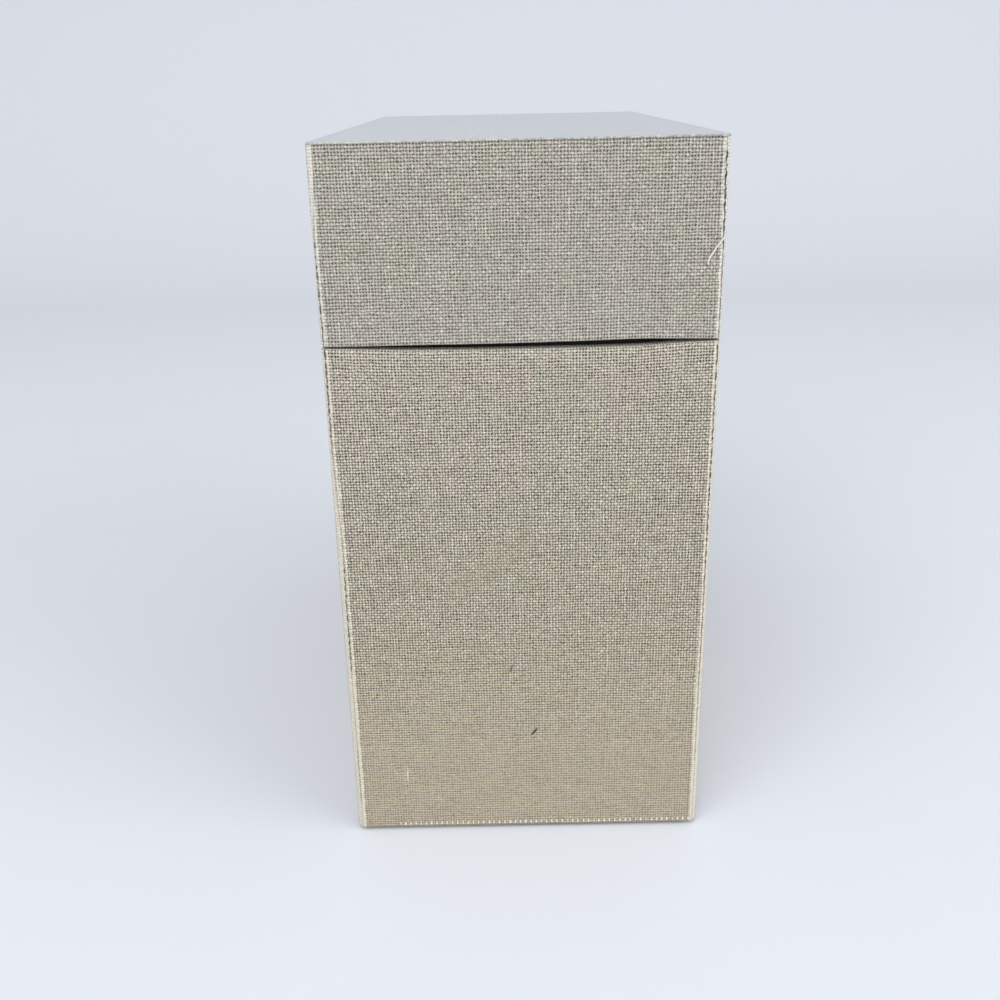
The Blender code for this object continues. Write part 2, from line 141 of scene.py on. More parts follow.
class Shader:
    """A material and short ways to build its nodes."""

    def __init__(self, name: str) -> None:
        """Starts a material with its Principled surface."""
        self.material = bpy.data.materials.new(name)
        self.material.use_nodes = True
        self.tree = self.material.node_tree
        self.surface = self.tree.nodes["Principled BSDF"]

    def node(self, kind: str, **settings: object) -> bpy.types.Node:
        """A new node with these properties."""
        made = self.tree.nodes.new(kind)
        for name, value in settings.items():
            setattr(made, name, value)
        return made

    def feed(self, socket: bpy.types.NodeSocket, value: Union[Level, Colour]) -> None:
        """Links a signal to a socket, or sets the socket to a plain value."""
        if isinstance(value, Signal):
            self.tree.links.new(value.socket, socket)
        elif isinstance(value, tuple) and len(socket.default_value) > len(value):
            socket.default_value = (*value, 1.0)
        else:
            socket.default_value = value

    def math(self, operation: str, *values: Level) -> Signal:
        """One Math node's result."""
        made = self.node("ShaderNodeMath", operation=operation)
        for socket, value in zip(made.inputs, values):
            self.feed(socket, value)
        return Signal(self, made.outputs[0])

    def vector(self, x: Level, y: Level = 0.0, z: Level = 0.0) -> Signal:
        """Three values as one vector."""
        made = self.node("ShaderNodeCombineXYZ")
        for socket, value in zip(made.inputs, (x, y, z)):
            self.feed(socket, value)
        return Signal(self, made.outputs[0])

    def noise(
        self, place: Signal, scale: float = 1.0, detail: float = 2.0, roughness: float = 0.5
    ) -> Signal:
        """Soft noise from 0 to 1, with its mean near a half.

        Args:
            place: Where the noise is read.
            scale: How many features there are to the unit.
            detail: How many finer layers it has.
            roughness: How strong the finer layers are.

        Returns:
            The noise's value.
        """
        made = self.node("ShaderNodeTexNoise")
        settings = {"Vector": place, "Scale": scale, "Detail": detail, "Roughness": roughness}
        for name, value in settings.items():
            self.feed(made.inputs[name], value)
        return Signal(self, made.outputs[0])

    def chance(self, x: Level, y: Level = 0.0) -> Signal:
        """A number from 0 to 1 drawn afresh for each pair of whole numbers."""
        made = self.node("ShaderNodeTexWhiteNoise", noise_dimensions="2D")
        self.feed(made.inputs["Vector"], self.vector(x, y))
        return Signal(self, made.outputs["Value"])

    def place(self) -> Signal:
        """The point's place in the piece's own metres."""
        return Signal(self, self.node("ShaderNodeTexCoord").outputs["Object"])

    def parts(self, vector: Signal) -> tuple[Signal, Signal]:
        """A vector's first two parts."""
        made = self.node("ShaderNodeSeparateXYZ")
        self.feed(made.inputs[0], vector)
        return Signal(self, made.outputs[0]), Signal(self, made.outputs[1])

    def yarns(self) -> tuple[Signal, Signal]:
        """The point's place on the flat cloth, counted in yarns across and along."""
        made = self.node("ShaderNodeUVMap", uv_map=YARN_MAP)
        return self.parts(Signal(self, made.outputs[0]))

    def attribute(self, name: str) -> Signal:
        """A value that the mesh carries at its points."""
        made = self.node("ShaderNodeAttribute", attribute_name=name)
        return Signal(self, made.outputs["Fac"])

    def mix(self, share: Level, first: Union[Signal, Colour], second: Union[Signal, Colour]) -> Signal:
        """The first colour where share is 0, and the second where it is 1."""
        made = self.node("ShaderNodeMix", data_type="RGBA")
        for place, value in zip((0, 6, 7), (share, first, second)):
            self.feed(made.inputs[place], value)
        return Signal(self, made.outputs[2])

    def dim(self, colour: Signal, factor: Signal) -> Signal:
        """A colour times a factor."""
        made = self.node("ShaderNodeVectorMath", operation="SCALE")
        self.feed(made.inputs[0], colour)
        self.feed(made.inputs["Scale"], factor)
        return Signal(self, made.outputs[0])

    def relief(self, height: Signal, depth: float, strength: float = 1.0) -> None:
        """Bumps the surface by a height from 0 to 1, of this many metres."""
        bump = self.node("ShaderNodeBump")
        bump.inputs["Strength"].default_value = strength
        bump.inputs["Distance"].default_value = depth
        self.feed(bump.inputs["Height"], height)
        self.tree.links.new(bump.outputs[0], self.surface.inputs["Normal"])

    def finish(self, colour: Signal, roughness: Level, **constants: object) -> bpy.types.Material:
        """Sets the surface's colour, roughness and constants.

        Args:
            colour: The base colour.
            roughness: A signal or a plain number.
            **constants: Other inputs of the surface, with _ for each space in their names.

        Returns:
            The material.
        """
        self.feed(self.surface.inputs["Base Color"], colour)
        self.feed(self.surface.inputs["Roughness"], roughness)
        for name, value in constants.items():
            self.feed(self.surface.inputs[name.replace("_", " ")], value)
        return self.material


@dataclass(frozen=True)
class Mark:
    """One small mark on a cloth: a fleck, a slub or a faint stain, placed in millimetres on its face."""

    x: float
    z: float
    length: float
    width: float
    turn: float
    colour: Colour
    strength: float


@dataclass(frozen=True)
class Weave:
    """One point of the weave, as signals. The warp stands upright on the box and the weft lies across it.

    u and v count the yarns across and up, row is v before the yarns stray, and drift is the place as a
    vector. The rounds say how near the point is to the middle of its two yarns. The rest run from 0 to 1.
    """

    u: Signal
    v: Signal
    row: Signal
    drift: Signal
    calm: Level
    warp_round: Signal
    weft_round: Signal
    height: Signal
    warp_on_top: Signal
    tone: Signal
    filled: Signal
    cell: Signal


@dataclass(frozen=True)
class Linen:
    """Natural linen book cloth in plain weave: thick and thin yarns, with painted shade down their flanks and
    in the small holes between them.
    """

    name: str = "linen_book_cloth"
    yarn: Colour = (0.650, 0.608, 0.512)
    thick: Colour = (0.960, 0.940, 0.875)
    # The fold colour: paler than the yarns, partly stretched, worn cloth and partly a painted highlight where
    # folds catch the light.
    fold_colour: Colour = (0.920, 0.872, 0.750)
    # The colour in the weave's holes: painted shade.
    hole_shade: Colour = (0.040, 0.034, 0.024)
    # The colour of the painted shade in the grooves beside cut edges.
    groove: Colour = (0.050, 0.045, 0.035)
    pink: Colour = (0.680, 0.594, 0.545)
    green: Colour = (0.620, 0.620, 0.480)
    # A warmer tone towards the cloth's foot.
    foot_tone: Colour = (0.640, 0.562, 0.415)
    # The nubs' colour: pale yarn with a painted highlight where the nubs catch the light.
    nub: Colour = (0.96, 0.94, 0.88)
    half_width: float = 0.345
    thinner_warp: float = 0.046
    thicker_weft: float = 0.022
    lean: float = 0.24
    pinch: float = 0.11
    sway: float = 0.7
    shake: float = 0.55
    stand: float = 0.70
    crimp: float = 0.30
    closed: float = 0.86
    slubs: float = 0.36
    hairs: float = 0.36
    shading: float = 0.56
    relief: float = 0.14 * MM
    roughness: float = 0.78
    gloss: float = 0.30
    sheen: float = 0.48
    sheen_tint: Colour = (0.90, 0.94, 1.0)
    marks: tuple[Mark, ...] = ()
    # How far up from the foot the warmer tone and the calmer weave reach.
    foot_reach: float = 0.0
    hem: float = 0.0

    def material(self) -> bpy.types.Material:
        """Weaves the cloth out of shader nodes.

        Returns:
            The material.
        """
        sh = Shader(self.name)
        weave = self.weave(sh)
        colour = self.shaded(sh, weave, self.threads(sh, weave))
        # Pale nubs along the foot, with a painted highlight where they catch the light.
        if self.hem:
            colour = sh.mix(self.nubs(sh, weave), colour, self.nub)
        # Painted shade in the grooves beside the cloth's cut edges, broken into dashes.
        dashes = sh.noise(weave.drift, 0.60, 1.0).ramp(0.42, 0.56)
        groove_shade_share = (sh.attribute(GROOVE_SHADE) * (dashes * 1.35 + 0.15)).apply("MINIMUM", 1.0)
        colour = sh.mix(groove_shade_share, colour, self.groove)
        for mark in self.marks:
            colour = self.marked(sh, colour, mark)
        fuzz = sh.noise(weave.drift, 3.1, 3.0, 0.7)
        flat = weave.height + (self.stand - weave.height) * weave.filled * 0.80
        sh.relief(flat * 0.86 + fuzz * 0.14, self.relief)
        return sh.finish(
            colour,
            fuzz * 0.16 + self.roughness,
            Specular_IOR_Level=self.gloss,
            Sheen_Weight=self.sheen,
            Sheen_Roughness=0.32,
            Sheen_Tint=self.sheen_tint,
        )

    def wander(self, sh: Shader, u: Signal, v: Signal) -> tuple[Signal, Signal]:
        """Lets the yarns stray from straight: slowly along their length, and in small shakes.

        Args:
            sh: The material being made.
            u: The count of straight yarns across.
            v: The count of straight yarns up.

        Returns:
            The counts once the yarns stray.
        """
        moved = []
        for count, fine, slow, quick in ((u, (0.45, 0.12), 1.7, 21.7), (v, (0.12, 0.45), 8.1, 47.3)):
            sway = sh.noise(sh.vector(u * fine[0], v * fine[1], slow), 1.0, 2.0) - 0.5
            shake = sh.noise(sh.vector(u, v, quick), 0.85, 1.0) - 0.5
            moved.append(count + sway * self.sway + shake * self.shake)
        return moved[0], moved[1]

    def across(self, sh: Shader, u: Signal, v: Signal, seed: float) -> tuple[Signal, Signal, Signal]:
        """One set of yarns: how far a point is from its yarn's middle, that yarn's half width and its tone.

        Args:
            sh: The material being made.
            u: The count of yarns across.
            v: The place along them, in yarns.
            seed: Keeps the two sets unlike.

        Returns:
            The offset from -0.5 to 0.5, the half width, and the tone from 0 to 1.
        """
        number = u.apply("FLOOR")
        offset = u - number - 0.5
        along = sh.noise(sh.vector(number * 3.71 + seed, v * 0.34, seed), 1.0, 3.0, 0.6)
        drawn = sh.chance(number, seed)
        half = self.half_width + (drawn - 0.5) * 0.03 + (along - 0.5) * 0.14
        return offset, half, drawn * 0.16 + along * 0.84

    def weave(self, sh: Shader) -> Weave:
        """Works out where the yarns run, which of two lies on top and how high it stands.

        Args:
            sh: The material being made.

        Returns:
            The weave at a point.
        """
        straight = sh.yarns()
        drift = sh.vector(*straight, 3.3)
        calm = self.calm(sh)
        u, v = self.wander(sh, *straight)
        a, half_a, tone_a = self.across(sh, u, v, 5.0)
        b, half_b, tone_b = self.across(sh, v, u, 11.0)
        lean = (sh.noise(drift, 0.090, 3.0, 0.6) - 0.5) * self.lean - calm * 0.07
        pin = (sh.chance((u + 0.5).apply("FLOOR"), (v + 0.5).apply("FLOOR")) - 0.5) * self.pinch
        halves = half_a - lean + pin - self.thinner_warp, half_b + lean + pin + self.thicker_weft
        round_a, round_b = (
            (1.0 - (offset / half).apply("POWER", 2.0)).apply("MAXIMUM", 0.0).apply("SQRT")
            for offset, half in zip((a, b), halves)
        )
        over = ((u.apply("FLOOR") + v.apply("FLOOR")) * 0.5).apply("FRACT") * 4.0 - 1.0
        wave_a, wave_b = (over * (other * math.pi).apply("COSINE") * self.crimp for other in (b, a))
        warp = round_a * (wave_a + self.stand)
        weft = round_b * (self.stand - wave_b)
        on_top = (warp - weft).ramp(-0.05, 0.05)
        filled = sh.attribute(FOLD).apply("MINIMUM", 1.0)
        cell = sh.chance(u.apply("FLOOR") + 0.5, v.apply("FLOOR") + 0.5)
        return Weave(
            *(u, v, straight[1], drift, calm, round_a, round_b),
            height=warp.apply("MAXIMUM", weft),
            warp_on_top=on_top,
            tone=tone_a * on_top + tone_b * (1.0 - on_top),
            filled=filled + (cell - 0.5) * filled * (1.0 - filled) * 2.4,
            cell=cell,
        )

    def threads(self, sh: Shader, weave: Weave) -> Signal:
        """The yarns' colours: the fold colour on a fold, and pale where a yarn is spun thick.

        Args:
            sh: The material being made.
            weave: The weave at a point.

        Returns:
            The colour before it is shaded.
        """
        slub = (weave.cell * 0.4 + weave.tone * 0.6).ramp(0.66, 0.90)
        colour = sh.mix(slub * 0.10, self.yarn_colour(sh, weave.drift), self.thick)
        # On a fold the colour turns to the fold colour, on the walls a paler tone that is partly worn cloth
        # and partly painted highlight.
        colour = sh.mix(weave.filled, colour, self.fold_colour)
        upright = self.slub(sh, weave.u, weave.v, 77.0) * weave.warp_round.apply("POWER", 5.0)
        level = self.slub(sh, weave.v, weave.u, 131.0) * weave.weft_round.apply("POWER", 5.0) * 0.6
        streak = upright.apply("MAXIMUM", level) * (1.0 - weave.calm * 0.85)
        return sh.mix(streak * self.slubs, colour, self.thick)

    def shaded(self, sh: Shader, weave: Weave, colour: Signal) -> Signal:
        """The yarns' colours with painted shade: darker down their flanks and in the holes, lighter where the
        weft lies on top.

        Args:
            sh: The material being made.
            weave: The weave at a point.
            colour: The colour before it is shaded.

        Returns:
            The shaded colour.
        """
        calm, filled = weave.calm, weave.filled
        fibre = sh.noise(weave.drift, 2.3, 3.0, 0.65) - 0.5
        # Random tone from cells, yarns and hairs, plus painted shade: lower points and flanks darker, weft
        # crossings lighter as if lit from above.
        tone_and_shade = (weave.cell - 0.5) * 0.12 + (weave.tone - 0.5) * 0.13
        tone_and_shade = tone_and_shade + (weave.height - 0.8) * self.shading + (0.5 - weave.warp_on_top) * 0.18
        tone_and_shade = tone_and_shade + fibre * self.hairs + (weave.weft_round - 0.75) * calm * 0.36
        tone_and_shade = tone_and_shade + (weave.warp_round - 0.75) * weave.warp_on_top * (0.35 - calm * 0.25)
        strength = 1.0 - (filled * 0.6 + calm * 0.45).apply("MINIMUM", 0.9)
        # The holes take painted shade.
        solid = weave.height.ramp(0.0, self.closed)
        solid = solid + (1.0 - solid) * (filled * 0.80 + calm * 0.6).apply("MINIMUM", 0.92)
        return sh.mix(solid, self.hole_shade, sh.dim(colour, tone_and_shade * strength + 1.0))

    def slub(self, sh: Shader, u: Signal, v: Signal, seed: float) -> Signal:
        """Where a yarn is spun thick and pale for a few yarns of its length: 1 there, and 0 elsewhere."""
        return sh.noise(sh.vector(u.apply("FLOOR") * 7.3, v * 0.13, seed), 1.0, 1.0).ramp(0.55, 0.66)

    def nubs(self, sh: Shader, weave: Weave) -> Signal:
        """The nubs where every other yarn turns under at the cloth's foot, drawn pale with a painted
        highlight.

        Args:
            sh: The material being made.
            weave: The weave at a point.

        Returns:
            How much of a point is nub, from 0 to 1.
        """
        u = weave.u
        far = (weave.row - self.hem / PITCH[1]).apply("ABSOLUTE")
        every_other = (u.apply("FLOOR") * 0.5).apply("FRACT") * 2.0
        present = sh.noise(sh.vector(u * 0.3, 5.0), 1.0, 1.0).ramp(0.34, 0.44) * u.ramp(-49.5, -48.0)
        return far.ramp(0.42, 0.74, 1.0, 0.0) * every_other * weave.warp_round.ramp(0.25, 0.62) * present

    def calm(self, sh: Shader) -> Level:
        """How much the weave's holes close and its contrast falls: most at the foot, least half way up."""
        if not self.foot_reach:
            return 0.0
        share = sh.yarns()[1] * (PITCH[1] / self.foot_reach)
        crisp = share.ramp(0.35, 0.55) * share.ramp(0.75, 1.0, 1.0, 0.0)
        return share.ramp(0.10, 0.50, 1.0, 0.0) - crisp * 0.25

    def yarn_colour(self, sh: Shader, drift: Signal) -> Signal:
        """The yarn's colour, with faint pink and green areas and a warmer lower part.

        Args:
            sh: The material being made.
            drift: The place on the cloth, in yarns.

        Returns:
            The colour.
        """
        pink = sh.noise(drift, 0.070, 3.0, 0.65).ramp(0.48, 0.64)
        green = sh.noise(drift, 0.095, 2.0, 0.60).ramp(0.50, 0.66)
        colour = sh.mix(green * 0.60, sh.mix(pink * 0.70, self.yarn, self.pink), self.green)
        if self.foot_reach:
            rows = self.foot_reach / PITCH[1]
            colour = sh.mix((sh.yarns()[1] / rows).ramp(0.0, 1.0, 0.75, 0.0), colour, self.foot_tone)
        return colour

    def marked(self, sh: Shader, colour: Signal, mark: Mark) -> Signal:
        """The colour with one mark on it.

        Args:
            sh: The material being made.
            colour: The colour without the mark.
            mark: The mark.

        Returns:
            The colour with it.
        """
        u, v = sh.yarns()
        turn = math.radians(mark.turn)
        east = (u - mark.x * MM / PITCH[0]) * (PITCH[0] / MM)
        north = (v - mark.z * MM / PITCH[1]) * (PITCH[1] / MM)
        along = (east * math.cos(turn) + north * math.sin(turn)) / (mark.length / 2)
        aside = (north * math.cos(turn) - east * math.sin(turn)) / (mark.width / 2)
        ragged = (sh.noise(sh.vector(u, v), 0.9, 3.0, 0.7) - 0.5) * 0.6
        far = (along.apply("POWER", 2.0) + aside.apply("POWER", 2.0)).apply("SQRT") + ragged
        return sh.mix(far.ramp(0.35, 1.15, mark.strength, 0.0), colour, mark.colour)


@dataclass(frozen=True)
class Greyboard:
    """Grey-brown board of recycled fibres, with pale and dark flecks and a layered edge."""

    base: Colour = (0.36, 0.33, 0.28)
    pale: Colour = (0.52, 0.49, 0.43)
    dark: Colour = (0.17, 0.15, 0.12)

    def material(self) -> bpy.types.Material:
        """Makes the board's material."""
        sh = Shader("greyboard")
        place = sh.place()
        pulp = sh.noise(place, 260.0, 5.0, 0.65)
        flecks = sh.noise(place, 1900.0, 2.0, 0.6)
        colour = sh.mix(pulp.ramp(0.52, 0.70, 0.0, 0.55), self.base, self.pale)
        colour = sh.mix(flecks.ramp(0.60, 0.72, 0.0, 0.8), colour, self.dark)
        sh.relief(pulp * 0.6 + flecks * 0.4, 0.05 * MM)
        return sh.finish(colour, 0.94, Specular_IOR_Level=0.25)


@dataclass(frozen=True)
class Paper:
    """Uncoated paper with a cloudy look-through, short fibres and a faint tooth."""

    name: str
    base: Colour
    cloud: Colour
    fibre: Colour

    def material(self) -> bpy.types.Material:
        """Makes the paper's material."""
        sh = Shader(self.name)
        place = sh.place()
        cloud = sh.noise(place, 150.0, 4.0, 0.6)
        tooth = sh.noise(place, 3200.0, 3.0, 0.7)
        fibres = sh.noise(place, 950.0, 1.0, 0.3)
        thin = (fibres - 0.5).apply("ABSOLUTE").ramp(0.0, 0.012, 0.5, 0.0)
        colour = sh.mix(cloud.ramp(0.35, 0.70), self.base, self.cloud)
        colour = sh.mix(thin, colour, self.fibre)
        sh.relief(tooth * 0.7 + cloud * 0.3, 0.03 * MM)
        return sh.finish(colour, tooth * 0.15 + 0.76, Specular_IOR_Level=0.35)


@dataclass(frozen=True)
class Velvet:
    """Flocked velvet: a short dense pile that lies this way and that, with a painted highlight where it leans
    to the light and painted shade between its tufts.
    """

    base: Colour = (0.56, 0.50, 0.385)
    lit: Colour = (0.74, 0.685, 0.57)
    # The painted shade between the tufts.
    deep: Colour = (0.37, 0.315, 0.225)

    def material(self) -> bpy.types.Material:
        """Makes the velvet's material."""
        sh = Shader("flocked_velvet")
        place = sh.place()
        nap = sh.noise(place, 55.0, 4.0, 0.62)
        pile = sh.noise(place, 4200.0, 2.0, 0.7)
        tufts = sh.noise(place, 900.0, 3.0, 0.7)
        # Painted highlight where the nap leans to the light, then painted shade between the tufts.
        colour = sh.mix(nap.ramp(0.42, 0.66, 0.0, 0.8), self.base, self.lit)
        colour = sh.mix((1.0 - tufts).ramp(0.48, 0.70, 0.0, 0.55), colour, self.deep)
        colour = sh.dim(colour, pile * 0.6 + 0.7)
        sh.relief(pile * 0.55 + tufts * 0.45, 0.16 * MM)
        return sh.finish(
            colour,
            0.95,
            Specular_IOR_Level=0.15,
            Sheen_Weight=0.9,
            Sheen_Roughness=0.35,
            Sheen_Tint=(1.0, 0.95, 0.86),
        )


@dataclass(frozen=True)
class Satin:
    """Ivory satin with long floats across it, glossy along them, over soft foam."""

    base: Colour = (0.80, 0.745, 0.635)
    shade: Colour = (0.66, 0.595, 0.47)
    thread: float = 0.16 * MM

    def material(self) -> bpy.types.Material:
        """Makes the satin's material."""
        sh = Shader("ivory_satin")
        place = sh.place()
        parts = sh.node("ShaderNodeSeparateXYZ")
        sh.feed(parts.inputs[0], place)
        x, y = (Signal(sh, parts.outputs[i]) for i in (0, 1))
        rows = y / self.thread
        row = rows.apply("FLOOR")
        ridge = ((rows - row - 0.5) * math.pi).apply("COSINE")
        floats = (x / (self.thread * 5.0) + row * 0.4).apply("FRACT")
        bind = (floats - 0.5).apply("ABSOLUTE").ramp(0.43, 0.5)
        drawn = sh.chance(row, 2.0)
        soft = sh.noise(place, 90.0, 3.0, 0.5)
        colour = sh.mix(soft.ramp(0.40, 0.66, 0.0, 0.35), self.base, self.shade)
        colour = sh.mix(bind * 0.5, colour, self.shade)
        # The threads a little darker down their sides, a painted shade, and a random tone for each row.
        colour = sh.dim(colour, drawn * 0.10 + ridge * 0.06 + 0.91)
        sh.relief(ridge * (1.0 - bind * 0.7), 0.02 * MM, 0.7)
        return sh.finish(
            colour,
            drawn * 0.10 + bind * 0.2 + 0.32,
            Anisotropic=0.55,
            Specular_IOR_Level=0.55,
            Sheen_Weight=0.35,
            Sheen_Roughness=0.4,
            Sheen_Tint=(1.0, 0.97, 0.92),
        )


@dataclass(frozen=True)
class ThreadFinish:
    """A stray linen yarn: pale, twisted and a little hairy."""

    base: Colour = (0.96, 0.94, 0.88)
    shade: Colour = (0.66, 0.63, 0.54)

    def material(self) -> bpy.types.Material:
        """Makes the yarn's material."""
        sh = Shader("stray_yarn")
        u, v = sh.yarns()
        twist = ((u + v * 2.0) * (2.0 * math.pi)).apply("SINE") * 0.5 + 0.5
        hair = sh.noise(sh.vector(u, v), 5.0, 2.0, 0.6)
        # Painted shade in the grooves of the twist.
        colour = sh.mix(twist.ramp(0.0, 0.5, 0.75, 0.0), self.base, self.shade)
        sh.relief(twist * 0.8 + hair * 0.2, 0.04 * MM)
        return sh.finish(colour, hair * 0.2 + 0.75, Specular_IOR_Level=0.3, Sheen_Weight=0.3)


FRONT_MARKS = (
    Mark(x=1.8, z=24.8, length=3.0, width=0.75, turn=50.0, colour=(0.07, 0.06, 0.035), strength=0.95),
    Mark(x=-2.9, z=40.2, length=2.4, width=0.55, turn=65.0, colour=(0.14, 0.12, 0.08), strength=0.8),
    Mark(x=-25.8, z=14.5, length=4.4, width=0.42, turn=88.0, colour=(0.95, 0.92, 0.84), strength=0.75),
    Mark(x=-7.0, z=63.5, length=31.0, width=7.0, turn=38.0, colour=(0.46, 0.36, 0.27), strength=0.20),
)
MARKED_LINEN = Linen(name="linen_book_cloth_marked", marks=FRONT_MARKS, foot_reach=108 * MM, hem=1.65 * MM)
LID_LINEN = Linen(
    name="linen_book_cloth_lid",
    yarn=(0.556, 0.534, 0.475),
    thick=(0.930, 0.920, 0.885),
    fold_colour=(0.920, 0.895, 0.825),
    pink=(0.592, 0.530, 0.508),
    green=(0.546, 0.554, 0.455),
    hole_shade=(0.105, 0.096, 0.080),
    closed=0.78,
)
# The top sheet's linen: paler yarns and a blue-tinted sheen, a painted reflection of the pale wall it mirrors
# at a glancing view; its fold colour is the walls' plain tone.
TOP_LINEN = Linen(
    name="linen_worn_smooth",
    yarn=(0.790, 0.775, 0.728),
    fold_colour=(0.560, 0.538, 0.480),
    pink=(0.780, 0.742, 0.714),
    green=(0.753, 0.760, 0.694),
    hole_shade=(0.220, 0.215, 0.195),
    closed=0.65,
    relief=0.05 * MM,
    roughness=0.32,
    gloss=1.0,
    sheen=1.0,
    sheen_tint=(0.80, 0.88, 1.0),
)
LINING_PAPER = Paper("lining_paper", (0.80, 0.76, 0.67), (0.76, 0.71, 0.61), (0.60, 0.54, 0.43))
BOTTOM_PAPER = Paper("bottom_sheet_paper", (0.62, 0.58, 0.49), (0.57, 0.53, 0.44), (0.42, 0.37, 0.28))
# Near-black, so the narrow gap between lid and base reads black: the darkness stands in for the deep shade in
# that gap.
NECK_PAPER = Paper("dark_neck_paper", (0.034, 0.029, 0.026), (0.042, 0.036, 0.032), (0.075, 0.066, 0.058))


class Finishes:
    """The box's materials, each made once."""

    def __init__(self) -> None:
        """Makes them."""
        self.linen = Linen().material()
        self.marked_linen = MARKED_LINEN.material()
        self.lid_linen = LID_LINEN.material()
        self.top_linen = TOP_LINEN.material()
        self.board = Greyboard().material()
        self.lining_paper = LINING_PAPER.material()
        self.bottom_paper = BOTTOM_PAPER.material()
        self.neck_paper = NECK_PAPER.material()
        self.velvet = Velvet().material()
        self.satin = Satin().material()
        self.yarn = ThreadFinish().material()


def solid_between(
    name: str,
    outer: Grid,
    inner: Grid,
    yarns: Grid,
    around: bool = False,
    capped: bool = False,
    levels: dict[str, Grid] | None = None,
) -> bpy.types.Object:
    """A closed sheet between two grids of points.

    Args:
        name: The piece's name.
        outer: Rows of points on the side that shows.
        inner: The same points on the other side.
        yarns: Each point's place on the flat cloth, in yarns. A sheet that goes around has one more column.
        around: Whether the last column meets the first.
        capped: Whether the last row is filled in, and not an edge.
        levels: Values that the mesh carries at its points, by name.

    Returns:
        The piece, with its faces pointing out.
    """
    rows, columns = outer.shape[:2]
    count = rows * columns
    points = np.concatenate([outer.reshape(-1, 3), inner.reshape(-1, 3)])
    faces: list[list[int]] = []
    corners: list[list[tuple[int, int]]] = []

    def add(places: Sequence[tuple[int, int, int]]) -> None:
        """Adds a face from each corner's side (0 outer, 1 inner), row and column."""
        faces.append([side * count + row * columns + column % columns for side, row, column in places])
        corners.append([(row, column) for _, row, column in places])

    last = columns if around else columns - 1
    for row in range(rows - 1):
        for column in range(last):
            ring = [(row, column), (row, column + 1), (row + 1, column + 1), (row + 1, column)]
            add([(0, *place) for place in ring])
            add([(1, *place) for place in reversed(ring)])
    for column in range(last):
        add([(0, 0, column), (1, 0, column), (1, 0, column + 1), (0, 0, column + 1)])
        if not capped:
            end = rows - 1
            add([(0, end, column + 1), (1, end, column + 1), (1, end, column), (0, end, column)])
    if capped:
        add([(0, rows - 1, column) for column in range(columns)])
        add([(1, rows - 1, column) for column in reversed(range(columns))])
    if not around:
        for row in range(rows - 1):
            add([(0, row + 1, 0), (1, row + 1, 0), (1, row, 0), (0, row, 0)])
            add([(0, row, last), (1, row, last), (1, row + 1, last), (0, row + 1, last)])
    mesh = bpy.data.meshes.new(name)
    mesh.from_pydata(points.tolist(), [], faces)
    layer = mesh.uv_layers.new(name=YARN_MAP)
    flat = np.array([yarns[row, column] for face in corners for row, column in face], np.float32)
    layer.uv.foreach_set("vector", flat.ravel())
    for level, values in (levels or {}).items():
        carried = mesh.attributes.new(level, "FLOAT", "POINT")
        carried.data.foreach_set("value", np.tile(values.ravel(), 2).astype(np.float32))
    return as_piece(name, mesh)


def as_piece(name: str, mesh: bpy.types.Mesh) -> bpy.types.Object:
    """An object for a closed mesh, shaded smooth, with its faces turned to point out if they don't.

    Args:
        name: The piece's name.
        mesh: Its mesh.

    Returns:
        The piece.
    """
    mesh.validate()
    mesh.calc_loop_triangles()
    where = np.array([vertex.co for vertex in mesh.vertices])
    corners = where[np.array([triangle.vertices for triangle in mesh.loop_triangles])]
    volume = np.einsum("ij,ij->i", corners[:, 0], np.cross(corners[:, 1], corners[:, 2])).sum()
    if volume < 0:
        mesh.flip_normals()
    mesh.shade_smooth()
    mesh.set_sharp_from_angle(angle=SHARP_EDGE)
    return placed(name, mesh)


def placed(name: str, data: bpy.types.ID) -> bpy.types.Object:
    """An object in the scene for a mesh, a lamp or a camera."""
    thing = bpy.data.objects.new(name, data)
    bpy.context.scene.collection.objects.link(thing)
    return thing


def dress(
    piece: bpy.types.Object, body: str, finish: bpy.types.Material, replaced: Sequence[str] = ()
) -> None:
    """Gives a piece its finish and its body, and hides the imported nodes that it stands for.

    Args:
        piece: The piece.
        body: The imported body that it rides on.
        finish: Its material.
        replaced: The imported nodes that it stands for.
    """
    piece.data.materials.append(finish)
    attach(piece, body)
    if replaced:
        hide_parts(*replaced)
    LOG.info("%s rides on %s and stands for %s", piece.name, body, ", ".join(replaced) or "nothing")


def dress_node(node: str, finish: bpy.types.Material) -> None:
    """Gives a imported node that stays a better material."""
    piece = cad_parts[node]
    piece.data.materials.clear()
    piece.data.materials.append(finish)
    LOG.info("%s stays, in %s", node, finish.name)


@dataclass(frozen=True)
class Run:
    """A section of a sheet: its inset and height at each row, its outward direction and its length so far."""

    inset: Grid
    height: Grid
    out_inset: Grid
    out_height: Grid
    length: Grid

    def back(self, thickness: float) -> tuple[Grid, Grid]:
        """The inset and height of the sheet's other side."""
        return self.inset - thickness * self.out_inset, self.height - thickness * self.out_height


